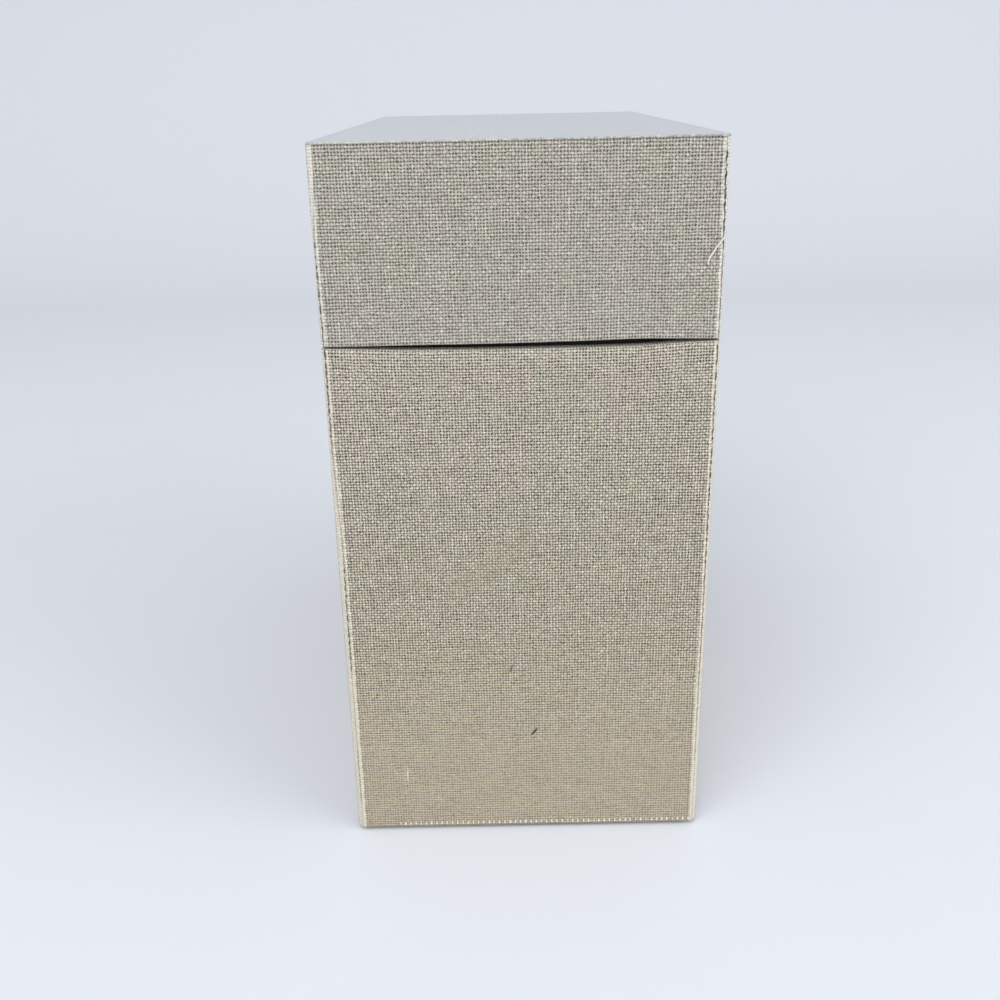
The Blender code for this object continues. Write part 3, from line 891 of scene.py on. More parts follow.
def rounded_run(corners: Sequence[tuple[float, float, float]], spacing: float) -> Run:
    """Joins corners with straight stretches and rounds each corner.

    Args:
        corners: Each corner's inset, height and radius. The ends have radius 0.
        spacing: The longest straight step.

    Returns:
        The run. Its outward side is to the left of the way it goes, with inset to the right and height up.
    """
    where = [np.array(corner[:2]) for corner in corners]
    points: list[np.ndarray] = []
    outward: list[np.ndarray] = []

    def left(way: np.ndarray) -> np.ndarray:
        """The direction to the left of a way."""
        return np.array([-way[1], way[0]])

    start = where[0]
    for index in range(1, len(corners)):
        way = where[index] - where[index - 1]
        way = way / np.linalg.norm(way)
        radius = corners[index][2]
        cut = radius if index < len(corners) - 1 else 0.0
        end = where[index] - way * cut
        pieces = max(1, math.ceil(np.linalg.norm(end - start) / spacing))
        for step in range(pieces + 1):
            points.append(start + (end - start) * step / pieces)
            outward.append(left(way))
        if index < len(corners) - 1:
            onward = where[index + 1] - where[index]
            onward = onward / np.linalg.norm(onward)
            middle = end + onward * radius
            for step in range(1, ROUNDING_STEPS):
                turn = math.pi / 2 * step / ROUNDING_STEPS
                points.append(middle - onward * radius * math.cos(turn) + way * radius * math.sin(turn))
                outward.append(left(way) * math.cos(turn) + left(onward) * math.sin(turn))
            start = where[index] + onward * radius
    path, normal = np.array(points), np.array(outward)
    keep = np.r_[True, steps_of(path) > SAME_POINT]
    path, normal = path[keep], normal[keep]
    return Run(*path.T, *normal.T, np.r_[0.0, np.cumsum(steps_of(path))])


def steps_of(path: Grid) -> Grid:
    """The lengths of a path's steps."""
    return np.linalg.norm(np.diff(path, axis=0), axis=1)


def widened(rows: Grid, columns: int) -> Grid:
    """One value for each row, repeated along this many columns."""
    return np.repeat(rows[:, None], columns, axis=1)


def smooth_table(points: Table, where: Grid) -> Grid:
    """Reads a smooth line through a few points, in millimetres, at these places in metres."""
    at, value = (np.array(column) * MM for column in zip(*points))
    index = np.clip(np.searchsorted(at, where) - 1, 0, len(at) - 2)
    share = np.clip((where - at[index]) / (at[index + 1] - at[index]), 0, 1)
    share = share * share * (3 - 2 * share)
    return value[index] * (1 - share) + value[index + 1] * share


def curve_through(value: Grid, where: Grid) -> Grid:
    """Reads a smooth line through evenly spaced values, at these places counted in steps."""
    padded = np.r_[2 * value[0] - value[1], value, 2 * value[-1] - value[-2]]
    index = np.clip(where.astype(int), 0, len(value) - 2)
    t = where - index
    p0, p1, p2, p3 = (padded[index + k] for k in range(4))
    bend = (2 * p0 - 5 * p1 + 4 * p2 - p3) * t * t + (3 * p1 - p0 - 3 * p2 + p3) * t**3
    return 0.5 * (2 * p1 + (p2 - p0) * t + bend)


def spaced(near: Sequence[float], low: Grid, high: Grid, middle: int) -> Grid:
    """Places across a sheet, close together near both ends.

    Args:
        near: Distances from each end, in millimetres, rising from 0.
        low: The low end at each row.
        high: The high end at each row.
        middle: How many places lie between.

    Returns:
        One row of places for each row given.
    """
    steps = np.array(near) * MM
    start = low[:, None] + steps
    end = high[:, None] - steps[::-1]
    share = np.linspace(0, 1, middle + 2)[1:-1]
    between = start[:, -1:] + (end[:, :1] - start[:, -1:]) * share
    return np.concatenate([start, between, end], axis=1)


@dataclass(frozen=True)
class BoxPlan:
    """The box's outline from above."""

    width: float = CAD_BOUNDS[1].x - CAD_BOUNDS[0].x
    depth: float = CAD_BOUNDS[1].y - CAD_BOUNDS[0].y
    corner: float = 2.0 * MM
    corner_steps: int = 6
    end_steps: int = 12
    side_steps: int = 24

    def loop(self, inset: float, radius: float, longer: float = 0.0) -> Grid:
        """Points round a rounded rectangle inside the outline, anticlockwise from above.

        Args:
            inset: How far inside it lies.
            radius: The radius of its corners.
            longer: How much further in it lies at the front and back.

        Returns:
            The points' x and y.
        """
        x = self.width / 2 - inset - radius
        y = self.depth / 2 - inset - longer - radius
        points: list[Grid] = []
        middles = [(x, -y), (x, y), (-x, y), (-x, -y)]
        for index, middle in enumerate(middles):
            for step in range(self.corner_steps):
                points.append(self.on_circle(middle, radius, index - 1 + step / self.corner_steps))
            start = self.on_circle(middle, radius, index)
            end = self.on_circle(middles[(index + 1) % 4], radius, index)
            pieces = self.end_steps if index % 2 else self.side_steps
            points += [start + (end - start) * step / pieces for step in range(pieces)]
        return np.array(points)

    def on_circle(self, middle: tuple[float, float], radius: float, quarters: float) -> Grid:
        """The point this many quarter turns round a circle."""
        turn = math.pi / 2 * quarters
        return np.array([middle[0] + radius * math.cos(turn), middle[1] + radius * math.sin(turn)])


PLAN = BoxPlan()


class End(Enum):
    """The two narrow ends of the box."""

    FRONT = -1
    BACK = 1


class Side(Enum):
    """The two long sides of the box."""

    LEFT = -1
    RIGHT = 1


@dataclass(frozen=True)
class Edges:
    """The front or back cloth's two long edges, by height in millimetres.

    The first two tables hold how far each edge lies from the box's side, and the next two how open its groove
    is, which widens the joint and deepens the painted shade in it. The ridges are the widths over which each
    folded edge stays pale, partly from stretched, worn cloth and partly from a painted highlight.
    """

    left: Table
    right: Table
    left_dark: Table = ((0.0, 0.8), (150.0, 0.8))
    right_dark: Table = ((0.0, 0.8), (150.0, 0.8))
    left_ridge: float = 0.98 * MM
    right_ridge: float = 0.94 * MM

    def inset(self, side: Side, height: Grid) -> Grid:
        """The inset at these heights."""
        return smooth_table(self.left if side is Side.LEFT else self.right, height)

    def dark(self, side: Side, height: Grid) -> Grid:
        """How open the groove beside the edge is at these heights, from 0 to 1, and so how dark its painted
        shade.
        """
        return smooth_table(self.left_dark if side is Side.LEFT else self.right_dark, height) / MM


@dataclass(frozen=True)
class RimBow:
    """How a shell's front rim strays from straight: up or down in millimetres, at even steps across it."""

    rim: float
    strays: tuple[float, ...]
    fades: float = 16.0 * MM

    def __call__(self, x: Grid, height: Grid) -> Grid:
        """How far up a point of the front moves."""
        steps = len(self.strays) - 1
        hump = curve_through(np.array(self.strays) * MM, np.clip(x / PLAN.width + 0.5, 0, 1) * steps)
        near = np.clip(1 - np.abs(self.rim - height) / self.fades, 0, 1)
        return hump * near * near * (3 - 2 * near)


@dataclass(frozen=True)
class ClothShell:
    """One shell, the base or the lid: two end cloths and two side cloths that turn the corners.

    Its face runs between two heights. Its rim is the front board's top where rim_side is -1, and the
    board's foot where rim_side is 1.
    """

    name: str
    run: Run
    face: tuple[float, float]
    edges: dict[End, Edges]
    bow: RimBow
    rim_side: int
    rim_fold: tuple[float, float]
    tuck: float | None = None
    thickness: float = 0.40 * MM
    joint: float = 0.06 * MM
    ridge: float = 0.17 * MM
    ridge_width: float = 0.95 * MM
    furrow: float = 0.10 * MM
    furrow_width: float = 0.12 * MM
    fold_gain: float = 8
    fold_blur: float = 0.50 * MM
    foot_at: float = 0.13 * MM
    foot_width: float = 0.20 * MM
    foot_dark: float = 0.14
    groove_width: float = 0.21 * MM
    groove_fall: float = 1.5
    side_ridge: float = 0.9 * MM
    side_share: float = 0.7
    side_fold_blur: float = 0.6 * MM
    side_groove_width: float = 0.20 * MM
    side_groove_dark: float = 0.8
    rim_fold_width: float = 0.38 * MM
    tuck_width: float = 0.10 * MM
    tuck_dark: float = 0.14
    unevenness: float = 0.022 * MM
    slow_wave: tuple[float, float, float] = (92, 71, 2.3)
    quick_wave: tuple[float, float, float] = (211, 83, 4.1)
    quick_share: float = 0.6
    wave_fade: float = 1.0 * MM
    end_seed: float = 1.0
    side_seed: float = 7.0
    side_yarns: tuple[float, float] = (211.37, 97.21)
    relief_depth: float = 0.9 * MM
    relief_fade: float = 0.3 * MM
    fold_depth: float = 0.8 * MM
    mitre: float = 0.4 * MM
    pitch: tuple[float, float] = PITCH
    ends_near: tuple[float, ...] = (0, 0.06, 0.14, 0.24, 0.36, 0.5, 0.66, 0.84, 1.05, 1.4, 1.9)
    ends_middle: int = 54
    sides_near: tuple[float, ...] = (0, 0.1, 0.2, 0.32, 0.45, 0.6, 0.8, 1.0, 1.25, 1.5, 1.75, 2.0, 2.4, 3.0)
    sides_middle: int = 44
    board_rows: int = 25
    board_columns: int = 41

    def build(self, finishes: dict[End | Side, bpy.types.Material], board: bpy.types.Material) -> None:
        """Builds the four cloths and the front board behind them, and dresses them.

        Args:
            finishes: Each cloth's material.
            board: The board's material.
        """
        for part, make in [(end, self.end_cloth) for end in End] + [(side, self.side_cloth) for side in Side]:
            node = f"{self.name}_{part.name.lower()}_cloth"
            dress(make(part), self.name, finishes[part], [node])
        dress(self.bowed_board(), self.name, board, [f"{self.name}_front_board"])

    def on_face(self, inset: Grid, height: Grid) -> Grid:
        """How much of the relief a row has: all on the face and its folds, and none inside or underneath."""
        low, high = self.face
        near = np.clip(1 - inset / self.relief_depth, 0, 1)
        fade = self.relief_fade
        return near * np.clip((height - low) / fade, 0, 1) * np.clip((high - height) / fade, 0, 1)

    def waviness(self, along: Grid, height: Grid, seed: float) -> Grid:
        """Slow unevenness of the board and glue beneath the cloth, in metres outwards."""
        across, up, shift = self.slow_wave
        wave = np.sin(along * across + seed) * np.sin(height * up + seed * shift)
        across, up, shift = self.quick_wave
        wave += self.quick_share * np.sin(along * across + height * up + seed * shift)
        return wave * self.unevenness

    def yarn_grid(self, along: Grid) -> Grid:
        """Each point's place on the flat cloth, in yarns. A row's place up it is its height on the face."""
        run = self.run
        on_face = np.argmax((run.inset < TINY) & (run.height > sum(self.face) / 2))
        rows = run.length - run.length[on_face] + run.height[on_face]
        return np.stack([along, widened(rows, along.shape[1])], axis=2) / np.array(self.pitch)

    def levels(self, fold: Grid, groove: Grid, inset: Grid, height: Grid) -> dict[str, Grid]:
        """The values that the weave's material reads: folds, drawn in the fold colour, and grooves, darkened
        with painted shade.

        Args:
            fold: The cloth's own folded edges.
            groove: The grooves beside them.
            inset: Each point's inset.
            height: Each point's height.

        Returns:
            The values by name.
        """
        near = np.clip(1 - inset / self.fold_depth, 0, 1)
        # A pale band on the rim's fold: painted highlight where it catches the light.
        rim, strength = self.rim_fold
        fold = np.maximum(fold, strength * near * np.exp(-(((height - rim) / self.rim_fold_width) ** 2)))
        # Painted shade on the wall cloth just under the lid's top sheet, where its lip overhangs.
        if self.tuck is not None:
            below = np.exp(-(self.tuck - height) / self.tuck_width)
            groove = np.maximum(groove, near * below * self.tuck_dark)
        return {FOLD: fold, GROOVE_SHADE: groove}

    def end_cloth(self, end: End) -> bpy.types.Object:
        """Builds the front or back cloth.

        Args:
            end: Which of the two.

        Returns:
            The piece.
        """
        edges = self.edges[end]
        run = self.run
        own_edge = PLAN.width / 2 - run.inset + self.mitre
        left, right = (
            np.minimum(PLAN.width / 2 - edges.inset(side, run.height), own_edge)
            for side in (Side.LEFT, Side.RIGHT)
        )
        x = spaced(self.ends_near, -left, right, self.ends_middle)
        rows = (run.inset, run.height, *run.back(self.thickness), run.out_inset)
        inset, height, back_inset, back_height, out_inset = (widened(row, x.shape[1]) for row in rows)
        shown = self.on_face(inset, height)
        edge = np.minimum(x + left[:, None], right[:, None] - x)
        swell = np.sin(np.clip(edge / self.ridge_width, 0, 1) ** 0.7 * math.pi) * self.ridge
        swell = swell - self.furrow * np.exp(-edge / self.furrow_width)
        swell = swell + self.waviness(x, height, self.end_seed)
        outer = self.end_place(x, inset + swell * shown * out_inset, height, end)
        inner = self.end_place(x, back_inset, back_height, end)
        # Each folded edge stays pale over its ridge, partly worn cloth and partly painted highlight; beside it
        # the groove gets painted shade, and the ridge's inner foot a little.
        dark = np.where(x > 0, edges.dark(Side.RIGHT, height), edges.dark(Side.LEFT, height))
        wide = np.where(x > 0, edges.right_ridge, edges.left_ridge)
        folded = np.clip(dark * self.fold_gain, 0, 1) * shown
        fold = np.clip((wide - edge) / self.fold_blur, 0, 1) * folded
        past_ridge = edge - wide - self.foot_at
        foot = self.foot_dark * np.exp(-((past_ridge / self.foot_width) ** 2)) * folded
        groove = np.exp(-((edge / self.groove_width) ** self.groove_fall)) * dark * shown + foot
        levels = self.levels(fold, groove, inset, height)
        yarns = self.yarn_grid(x)
        return solid_between(f"{self.name}_{end.name.lower()}_linen", outer, inner, yarns, levels=levels)

    def end_place(self, x: Grid, inset: Grid, height: Grid, end: End) -> Grid:
        """Where points of an end cloth lie, given how far across they are, how far in and how high."""
        past = np.clip(np.abs(x) - (PLAN.width / 2 - PLAN.corner), 0, PLAN.corner * 0.98)
        turned = PLAN.corner - np.sqrt(PLAN.corner**2 - past**2)
        y = -(PLAN.depth / 2) + (inset + turned * np.clip(1 - inset / PLAN.corner, 0, 1))
        height = height + self.bow(x, height) * (end is End.FRONT)
        return np.stack([x * -end.value, y * -end.value, height], axis=2)

    def reach(self, end: End, side: Side, inset: Grid) -> Grid:
        """How far a side cloth reaches from the middle of its side towards one end.

        Args:
            end: The end that it reaches towards.
            side: Which side the cloth is on.
            inset: Each row's inset.

        Returns:
            The length at each row.
        """
        seen = side if end is End.FRONT else Side(-side.value)
        edges = self.edges[end]
        height = self.run.height
        cut = PLAN.corner - edges.inset(seen, height) + self.joint * (0.1 + edges.dark(seen, height))
        radius = PLAN.corner - inset
        straight = PLAN.depth / 2 - PLAN.corner
        arc = np.arccos(np.clip(cut / np.maximum(radius, cut), -1, 1)) * np.maximum(radius, cut)
        return np.where(radius > cut, straight + arc, straight - (cut - radius))

    def side_cloth(self, side: Side) -> bpy.types.Object:
        """Builds the left or right cloth, which turns the corners and stops short of the end cloths.

        Args:
            side: Which of the two.

        Returns:
            The piece.
        """
        run = self.run
        outer, along = self.side_grid(side, run.inset, run.height, True)
        inner, _ = self.side_grid(side, *run.back(self.thickness), False)
        first, apart = self.side_yarns
        yarns = self.yarn_grid(along) + (first + apart * side.value)
        inset, height = (widened(rows, along.shape[1]) for rows in (run.inset, run.height))
        shown = self.on_face(inset, height)
        ends = np.minimum(along - along[:, :1], along[:, -1:] - along)
        front, back = self.edges[End.FRONT], self.edges[End.BACK]
        behind = Side(-side.value)
        # The side cloth stays pale on its folded ends, partly worn cloth and partly painted highlight, with
        # painted shade in the groove beside each end cloth.
        dark = np.where(along < 0, front.dark(side, height), back.dark(behind, height))
        seam = np.where(along < 0, front.inset(side, height), back.inset(behind, height))
        wide = self.side_ridge + self.side_share * seam
        fold = np.clip((wide - ends) / self.side_fold_blur, 0, 1) * shown
        groove = np.exp(-((ends / self.side_groove_width) ** self.groove_fall)) * shown * dark
        groove *= self.side_groove_dark
        levels = self.levels(fold, groove, inset, height)
        return solid_between(f"{self.name}_{side.name.lower()}_linen", outer, inner, yarns, levels=levels)

    def side_grid(self, side: Side, inset: Grid, height: Grid, shown: bool) -> tuple[Grid, Grid]:
        """Points of a side cloth.

        Args:
            side: Which side it is on.
            inset: Each row's inset.
            height: Each row's height.
            shown: Whether this is the side that shows, which is uneven.

        Returns:
            The points, and how far along the cloth each lies.
        """
        front, back = (self.reach(end, side, inset) for end in End)
        along = spaced(self.sides_near, -front, back, self.sides_middle)
        straight = PLAN.depth / 2 - PLAN.corner
        deep, tall = (widened(rows, along.shape[1]) for rows in (inset, height))
        radius = np.maximum(PLAN.corner - deep, TINY)
        past = np.clip(np.abs(along) - straight, 0, None)
        turn = np.where(deep < PLAN.corner, past / radius, 0.0)
        extra = 0.0
        if shown:
            flat = np.clip(1 - past / self.wave_fade, 0, 1)
            seed = self.side_seed + side.value
            extra = self.waviness(along, tall, seed) * self.on_face(deep, tall) * flat
        turned = np.where(deep < PLAN.corner, (radius + extra) * np.cos(turn), PLAN.corner - deep)
        x = PLAN.width / 2 - PLAN.corner + turned
        y = np.sign(along) * (np.minimum(np.abs(along), straight) + radius * np.sin(turn))
        return np.stack([x * side.value, y, tall], axis=2), along

    def bowed_board(self) -> bpy.types.Object:
        """Builds the front board, whose rim keeps clear of the other shell as its cloth does.

        Returns:
            The piece.
        """
        low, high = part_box(f"{self.name}_front_board")
        x = np.tile(np.linspace(low.x, high.x, self.board_columns), (self.board_rows, 1))
        height = widened(np.linspace(low.z, high.z, self.board_rows), self.board_columns)
        height = height + self.rim_side * np.clip(self.rim_side * self.bow(x, height), 0, None)
        radius = PLAN.corner - (PLAN.width / 2 - high.x)
        past = np.clip(np.abs(x) - (PLAN.width / 2 - PLAN.corner), 0, radius)
        turned = radius - np.sqrt(radius**2 - past**2)
        outer, inner = (np.stack([x, y, height], axis=2) for y in (low.y + turned, np.full_like(x, high.y)))
        return solid_between(f"{self.name}_bowed_board", outer, inner, np.stack([x, height], axis=2))


@dataclass(frozen=True)
class BaseShell:
    """The base: linen round its walls, boards beneath and a sheet of paper under the floor."""

    fold: float = 0.55 * MM
    rim_fold: float = 0.50 * MM
    turn_in: float = 14.0 * MM
    rim_depth: float = 3.5 * MM
    spacing: float = 2.6 * MM
    strays: tuple[float, ...] = (0.0, -0.26, -0.57, -0.71, -0.79, -0.82, -0.82, -0.79, -0.65, -0.19, 0.10)
    front: Edges = Edges(
        left=(
            *((0.0, 1.14), (28.0, 1.18), (52.0, 1.26), (68.0, 1.38)),
            *((79.0, 1.05), (88.0, 0.72), (109.0, 0.80)),
        ),
        right=((0.0, 1.02), (35.0, 1.05), (51.0, 0.92), (72.0, 0.90), (90.0, 0.80), (109.0, 0.74)),
        left_dark=(
            *((0.0, 0.13), (6.0, 0.15), (10.0, 0.40), (18.0, 0.40), (24.0, 0.20), (38.0, 0.25)),
            *((43.0, 0.85), (62.0, 0.75), (68.0, 0.30), (86.0, 0.35), (91.0, 0.90), (109.0, 1.0)),
        ),
        right_dark=(
            *((0.0, 0.13), (14.0, 0.16), (20.0, 0.4), (40.0, 0.6)),
            *((62.0, 0.7), (70.0, 0.95), (109.0, 1.0)),
        ),
    )
    back: Edges = Edges(
        left=((0.0, 1.2), (60.0, 0.8), (110.0, 1.0)),
        right=((0.0, 0.9), (50.0, 1.3), (110.0, 0.7)),
    )

    def build(self, finishes: Finishes) -> None:
        """Builds the cloths and the front board and dresses the bottom sheet.

        Args:
            finishes: The box's materials.
        """
        low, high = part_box("base_front_cloth")
        corners = [
            (high.y - low.y, low.z, 0.0),
            (0.0, low.z, self.fold),
            (0.0, high.z, self.rim_fold),
            (self.rim_depth, high.z, self.rim_fold),
            (self.rim_depth, high.z - self.turn_in, 0.0),
        ]
        shell = ClothShell(
            name="base",
            run=rounded_run(corners, self.spacing),
            face=(low.z, high.z),
            edges={End.FRONT: self.front, End.BACK: self.back},
            bow=RimBow(high.z, self.strays),
            rim_side=-1,
            rim_fold=(high.z - 0.40 * MM, 0.10),
        )
        cloths = {End.FRONT: finishes.marked_linen, **dict.fromkeys((End.BACK, *Side), finishes.linen)}
        shell.build(cloths, finishes.board)
        dress_node("base_bottom_sheet", finishes.bottom_paper)


@dataclass(frozen=True)
class LidShell:
    """The lid: linen round its walls, a top sheet, a bowed front board and the lining paper."""

    fold: float = 0.50 * MM
    top_fold: float = 0.28 * MM
    turn_in: float = 14.0 * MM
    rim_depth: float = 3.5 * MM
    thickness: float = 0.40 * MM
    top_lift: float = 0.06 * MM
    tuck_joint: float = 0.05 * MM
    least_rounding: float = 0.4 * MM
    hollow: float = 0.12 * MM
    yarns_from: float = 403.1
    lining_thickness: float = 0.25 * MM
    lining_fold: float = 0.5 * MM
    lining_corner: float = 0.5 * MM
    below_top: tuple[float, ...] = (0.5, 0.22, 0.09, 0.0)
    strays: tuple[float, ...] = (0.0, 0.0, 0.02, 0.03, 0.03, 0.06, 0.15, 0.27, 0.42, 0.27, 0.10)
    front: Edges = Edges(
        left=((108.0, 0.72), (124.0, 0.46), (130.0, 0.46), (136.0, 1.0), (141.0, 1.28), (146.0, 1.32)),
        right=((108.0, 0.60), (119.0, 0.58), (128.0, 0.66), (136.0, 0.84), (146.0, 0.88)),
        left_dark=((108.0, 0.9), (126.0, 1.0), (131.0, 0.5), (134.0, 0.1), (138.0, 0.0), (146.0, 0.0)),
        right_dark=((108.0, 0.7), (119.0, 0.7), (128.0, 1.0), (133.0, 1.5), (143.0, 1.4), (145.0, 0.5)),
    )
    back: Edges = Edges(left=((108.0, 0.6), (146.0, 0.9)), right=((108.0, 0.9), (146.0, 0.5)))

    def build(self, finishes: Finishes) -> None:
        """Builds the cloths, the front board, the top sheet and the lining.

        Args:
            finishes: The box's materials.
        """
        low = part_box("lid_front_cloth")[0]
        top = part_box("lid_top_cloth")[0].z + self.top_lift - self.tuck_joint
        corners = [
            (self.rim_depth, low.z + self.turn_in, 0.0),
            (self.rim_depth, low.z, self.fold),
            (0.0, low.z, self.fold),
            *((0.0, top - below * MM, 0.0) for below in self.below_top),
        ]
        shell = ClothShell(
            name="lid",
            run=rounded_run(corners, 2.2 * MM),
            face=(low.z, top + 0.3 * MM),
            edges={End.FRONT: self.front, End.BACK: self.back},
            bow=RimBow(low.z, self.strays),
            rim_side=1,
            rim_fold=(low.z + 0.3 * MM, 0.15),
            tuck=top,
            pitch=(0.575 * MM, 0.599 * MM),
        )
        shell.build(dict.fromkeys((*End, *Side), finishes.lid_linen), finishes.board)
        dress(self.top_sheet(), "lid", finishes.top_linen, ["lid_top_cloth"])
        dress(self.lining(), "lid", finishes.lining_paper, ["lid_lining"])

    def top_sheet(self) -> bpy.types.Object:
        """Builds the sheet over the lid's top, folded a little way down all round.

        Returns:
            The piece.
        """
        low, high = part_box("lid_top_cloth")
        middle = PLAN.width / 2 - CENTRE_GAP
        corners = [(0.0, low.z + self.top_lift, 0.0), (0.0, high.z, self.top_fold), (middle, high.z, 0.0)]
        run = rounded_run(corners, 3.2 * MM)
        outer, inner, yarns = [], [], []
        flat_from = run.length[np.argmax(run.out_height > 0.999)] - self.top_fold
        rows = zip(run.inset, run.height, run.length, *run.back(self.thickness))
        for inset, height, length, back_inset, back_height in rows:
            rounding = max(PLAN.corner - inset, self.least_rounding)
            loop = PLAN.loop(inset, rounding)
            behind = PLAN.loop(back_inset, max(PLAN.corner - back_inset, self.least_rounding))
            drawn = PLAN.loop(min(length - flat_from, inset), rounding)
            dip = self.sag(loop, inset)
            outer.append(np.c_[loop, height + dip])
            inner.append(np.c_[behind, back_height + dip])
            yarns.append(np.r_[drawn, drawn[:1]] / np.array(PITCH) + self.yarns_from)
        grid = np.array(outer)
        # Its fold-down takes the walls' plain fold colour in place of the top's painted pallor, and painted
        # shade along its edge, deeper to the right.
        edge = widened(np.exp(-((run.inset / (0.20 * MM)) ** 2)), grid.shape[1])
        levels = {FOLD: edge * 0.9, GROOVE_SHADE: edge * np.clip(0.26 + grid[:, :, 0] * 2.5, 0.17, 0.4)}
        return solid_between("lid_top_linen", grid, np.array(inner), np.array(yarns), True, True, levels)

    def sag(self, loop: Grid, inset: float) -> Grid:
        """The top's slight hollow, in metres down from its edge."""
        x = loop[:, 0] / (PLAN.width / 2)
        y = loop[:, 1] / (PLAN.depth / 2)
        inside = np.clip((1 - x**2) * (1 - y**2), 0, 1)
        return -inside * self.hollow * (inset > self.top_fold)

    def lining(self) -> bpy.types.Object:
        """Builds the paper inside the lid: four walls and the ceiling.

        Returns:
            The piece.
        """
        low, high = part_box("lid_lining")
        inset = PLAN.width / 2 - high.x + self.lining_thickness
        ceiling = high.z - self.lining_thickness
        corners = [
            (inset, low.z, 0.0),
            (inset, ceiling, self.lining_fold),
            (PLAN.width / 2 - CENTRE_GAP, ceiling, 0.0),
        ]
        run, deep = rounded_run(corners, SPACING), -self.lining_thickness
        return loop_sheet("lid_lining_paper", run, deep, lambda inset: self.lining_corner, capped=True)


def loop_sheet(
    name: str,
    run: Run,
    thickness: float,
    radius: Callable[[float], float],
    longer: Callable[[float], float] = lambda inset: 0.0,
    capped: bool = False,
) -> bpy.types.Object:
    """A sheet that goes round the box in loops, one for each row of its run.

    Args:
        name: The piece's name.
        run: The section of the side that shows.
        thickness: How thick it is, below 0 where the hidden side lies outwards.
        radius: The loop's corner radius at an inset.
        longer: How much further in the loop lies at the front and back, at an inset.
        capped: Whether the last loop is filled in.

    Returns:
        The piece.
    """

    def rings(insets: Grid, heights: Grid) -> Grid:
        """One loop for each row."""
        loops = [PLAN.loop(inset, radius(inset), longer(inset)) for inset in insets]
        return np.array([np.c_[loop, np.full(len(loop), height)] for loop, height in zip(loops, heights)])

    shown = rings(run.inset, run.height)
    yarns = np.repeat(run.length[:, None, None], shown.shape[1] + 1, axis=1) * np.ones(2)
    return solid_between(name, shown, rings(*run.back(thickness)), yarns, around=True, capped=capped)


@dataclass(frozen=True)
class Neck:
    """The neck inside the base: its boards, and the paper that wraps them inside and out."""

    fold: float = 0.5 * MM
    thickness: float = 0.25 * MM
    glue: float = 0.3 * MM
    outer_corner: float = 1.0 * MM

    def build(self, finishes: Finishes) -> None:
        """Builds the paper."""
        low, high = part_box("neck_paper")
        outside = PLAN.width / 2 - high.x
        inside = PLAN.width / 2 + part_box("neck_left_board")[1].x + self.thickness + self.glue
        corners = [
            (outside, low.z, 0.0),
            (outside, high.z, self.fold),
            (inside, high.z, self.fold),
            (inside, low.z, 0.0),
        ]

        def radius(inset: float) -> float:
            """The corners are rounder outside than inside."""
            return self.outer_corner - 0.2 * (inset - outside)

        piece = loop_sheet("neck_wrap_paper", rounded_run(corners, SPACING), self.thickness, radius)
        dress(piece, "base", finishes.neck_paper, ["neck_paper"])


@dataclass(frozen=True)
class Insert:
    """The insert: velvet over the platform and down the well, and the pad on the well's floor."""

    edge_fold: float = 0.9 * MM
    mouth_fold: float = 1.3 * MM
    thickness: float = 0.6 * MM
    corner: float = 1.0 * MM
    well_half_width: float = 23.0 * MM
    well_half_depth: float = 53.0 * MM

    def build(self, finishes: Finishes) -> None:
        """Builds the velvet and the well's pad."""
        low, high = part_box("insert_velvet")
        outside = PLAN.width / 2 - high.x
        mouth = PLAN.width / 2 - self.well_half_width
        extra = (PLAN.depth / 2 - self.well_half_depth) - mouth
        corners = [
            (outside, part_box("platform_board")[0].z, 0.0),
            (outside, high.z, self.edge_fold),
            (mouth, high.z, self.mouth_fold),
            (mouth, low.z, 0.0),
        ]
        start, end = outside + 1.5 * MM, mouth - 2.0 * MM

        def longer(inset: float) -> float:
            """The well's mouth lies further from the ends than from the sides."""
            return extra * min(1.0, max(0.0, (inset - start) / (end - start)))

        run = rounded_run(corners, SPACING)
        piece = loop_sheet("insert_flocked_velvet", run, self.thickness, lambda inset: self.corner, longer)
        dress(piece, "base", finishes.velvet, ["insert_velvet"])
        pad = StuffedPad("well_cushion", *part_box("well_pad"), swell=0.9 * MM, seed=3.0).build()
        dress(pad, "base", finishes.velvet, ["well_pad"])


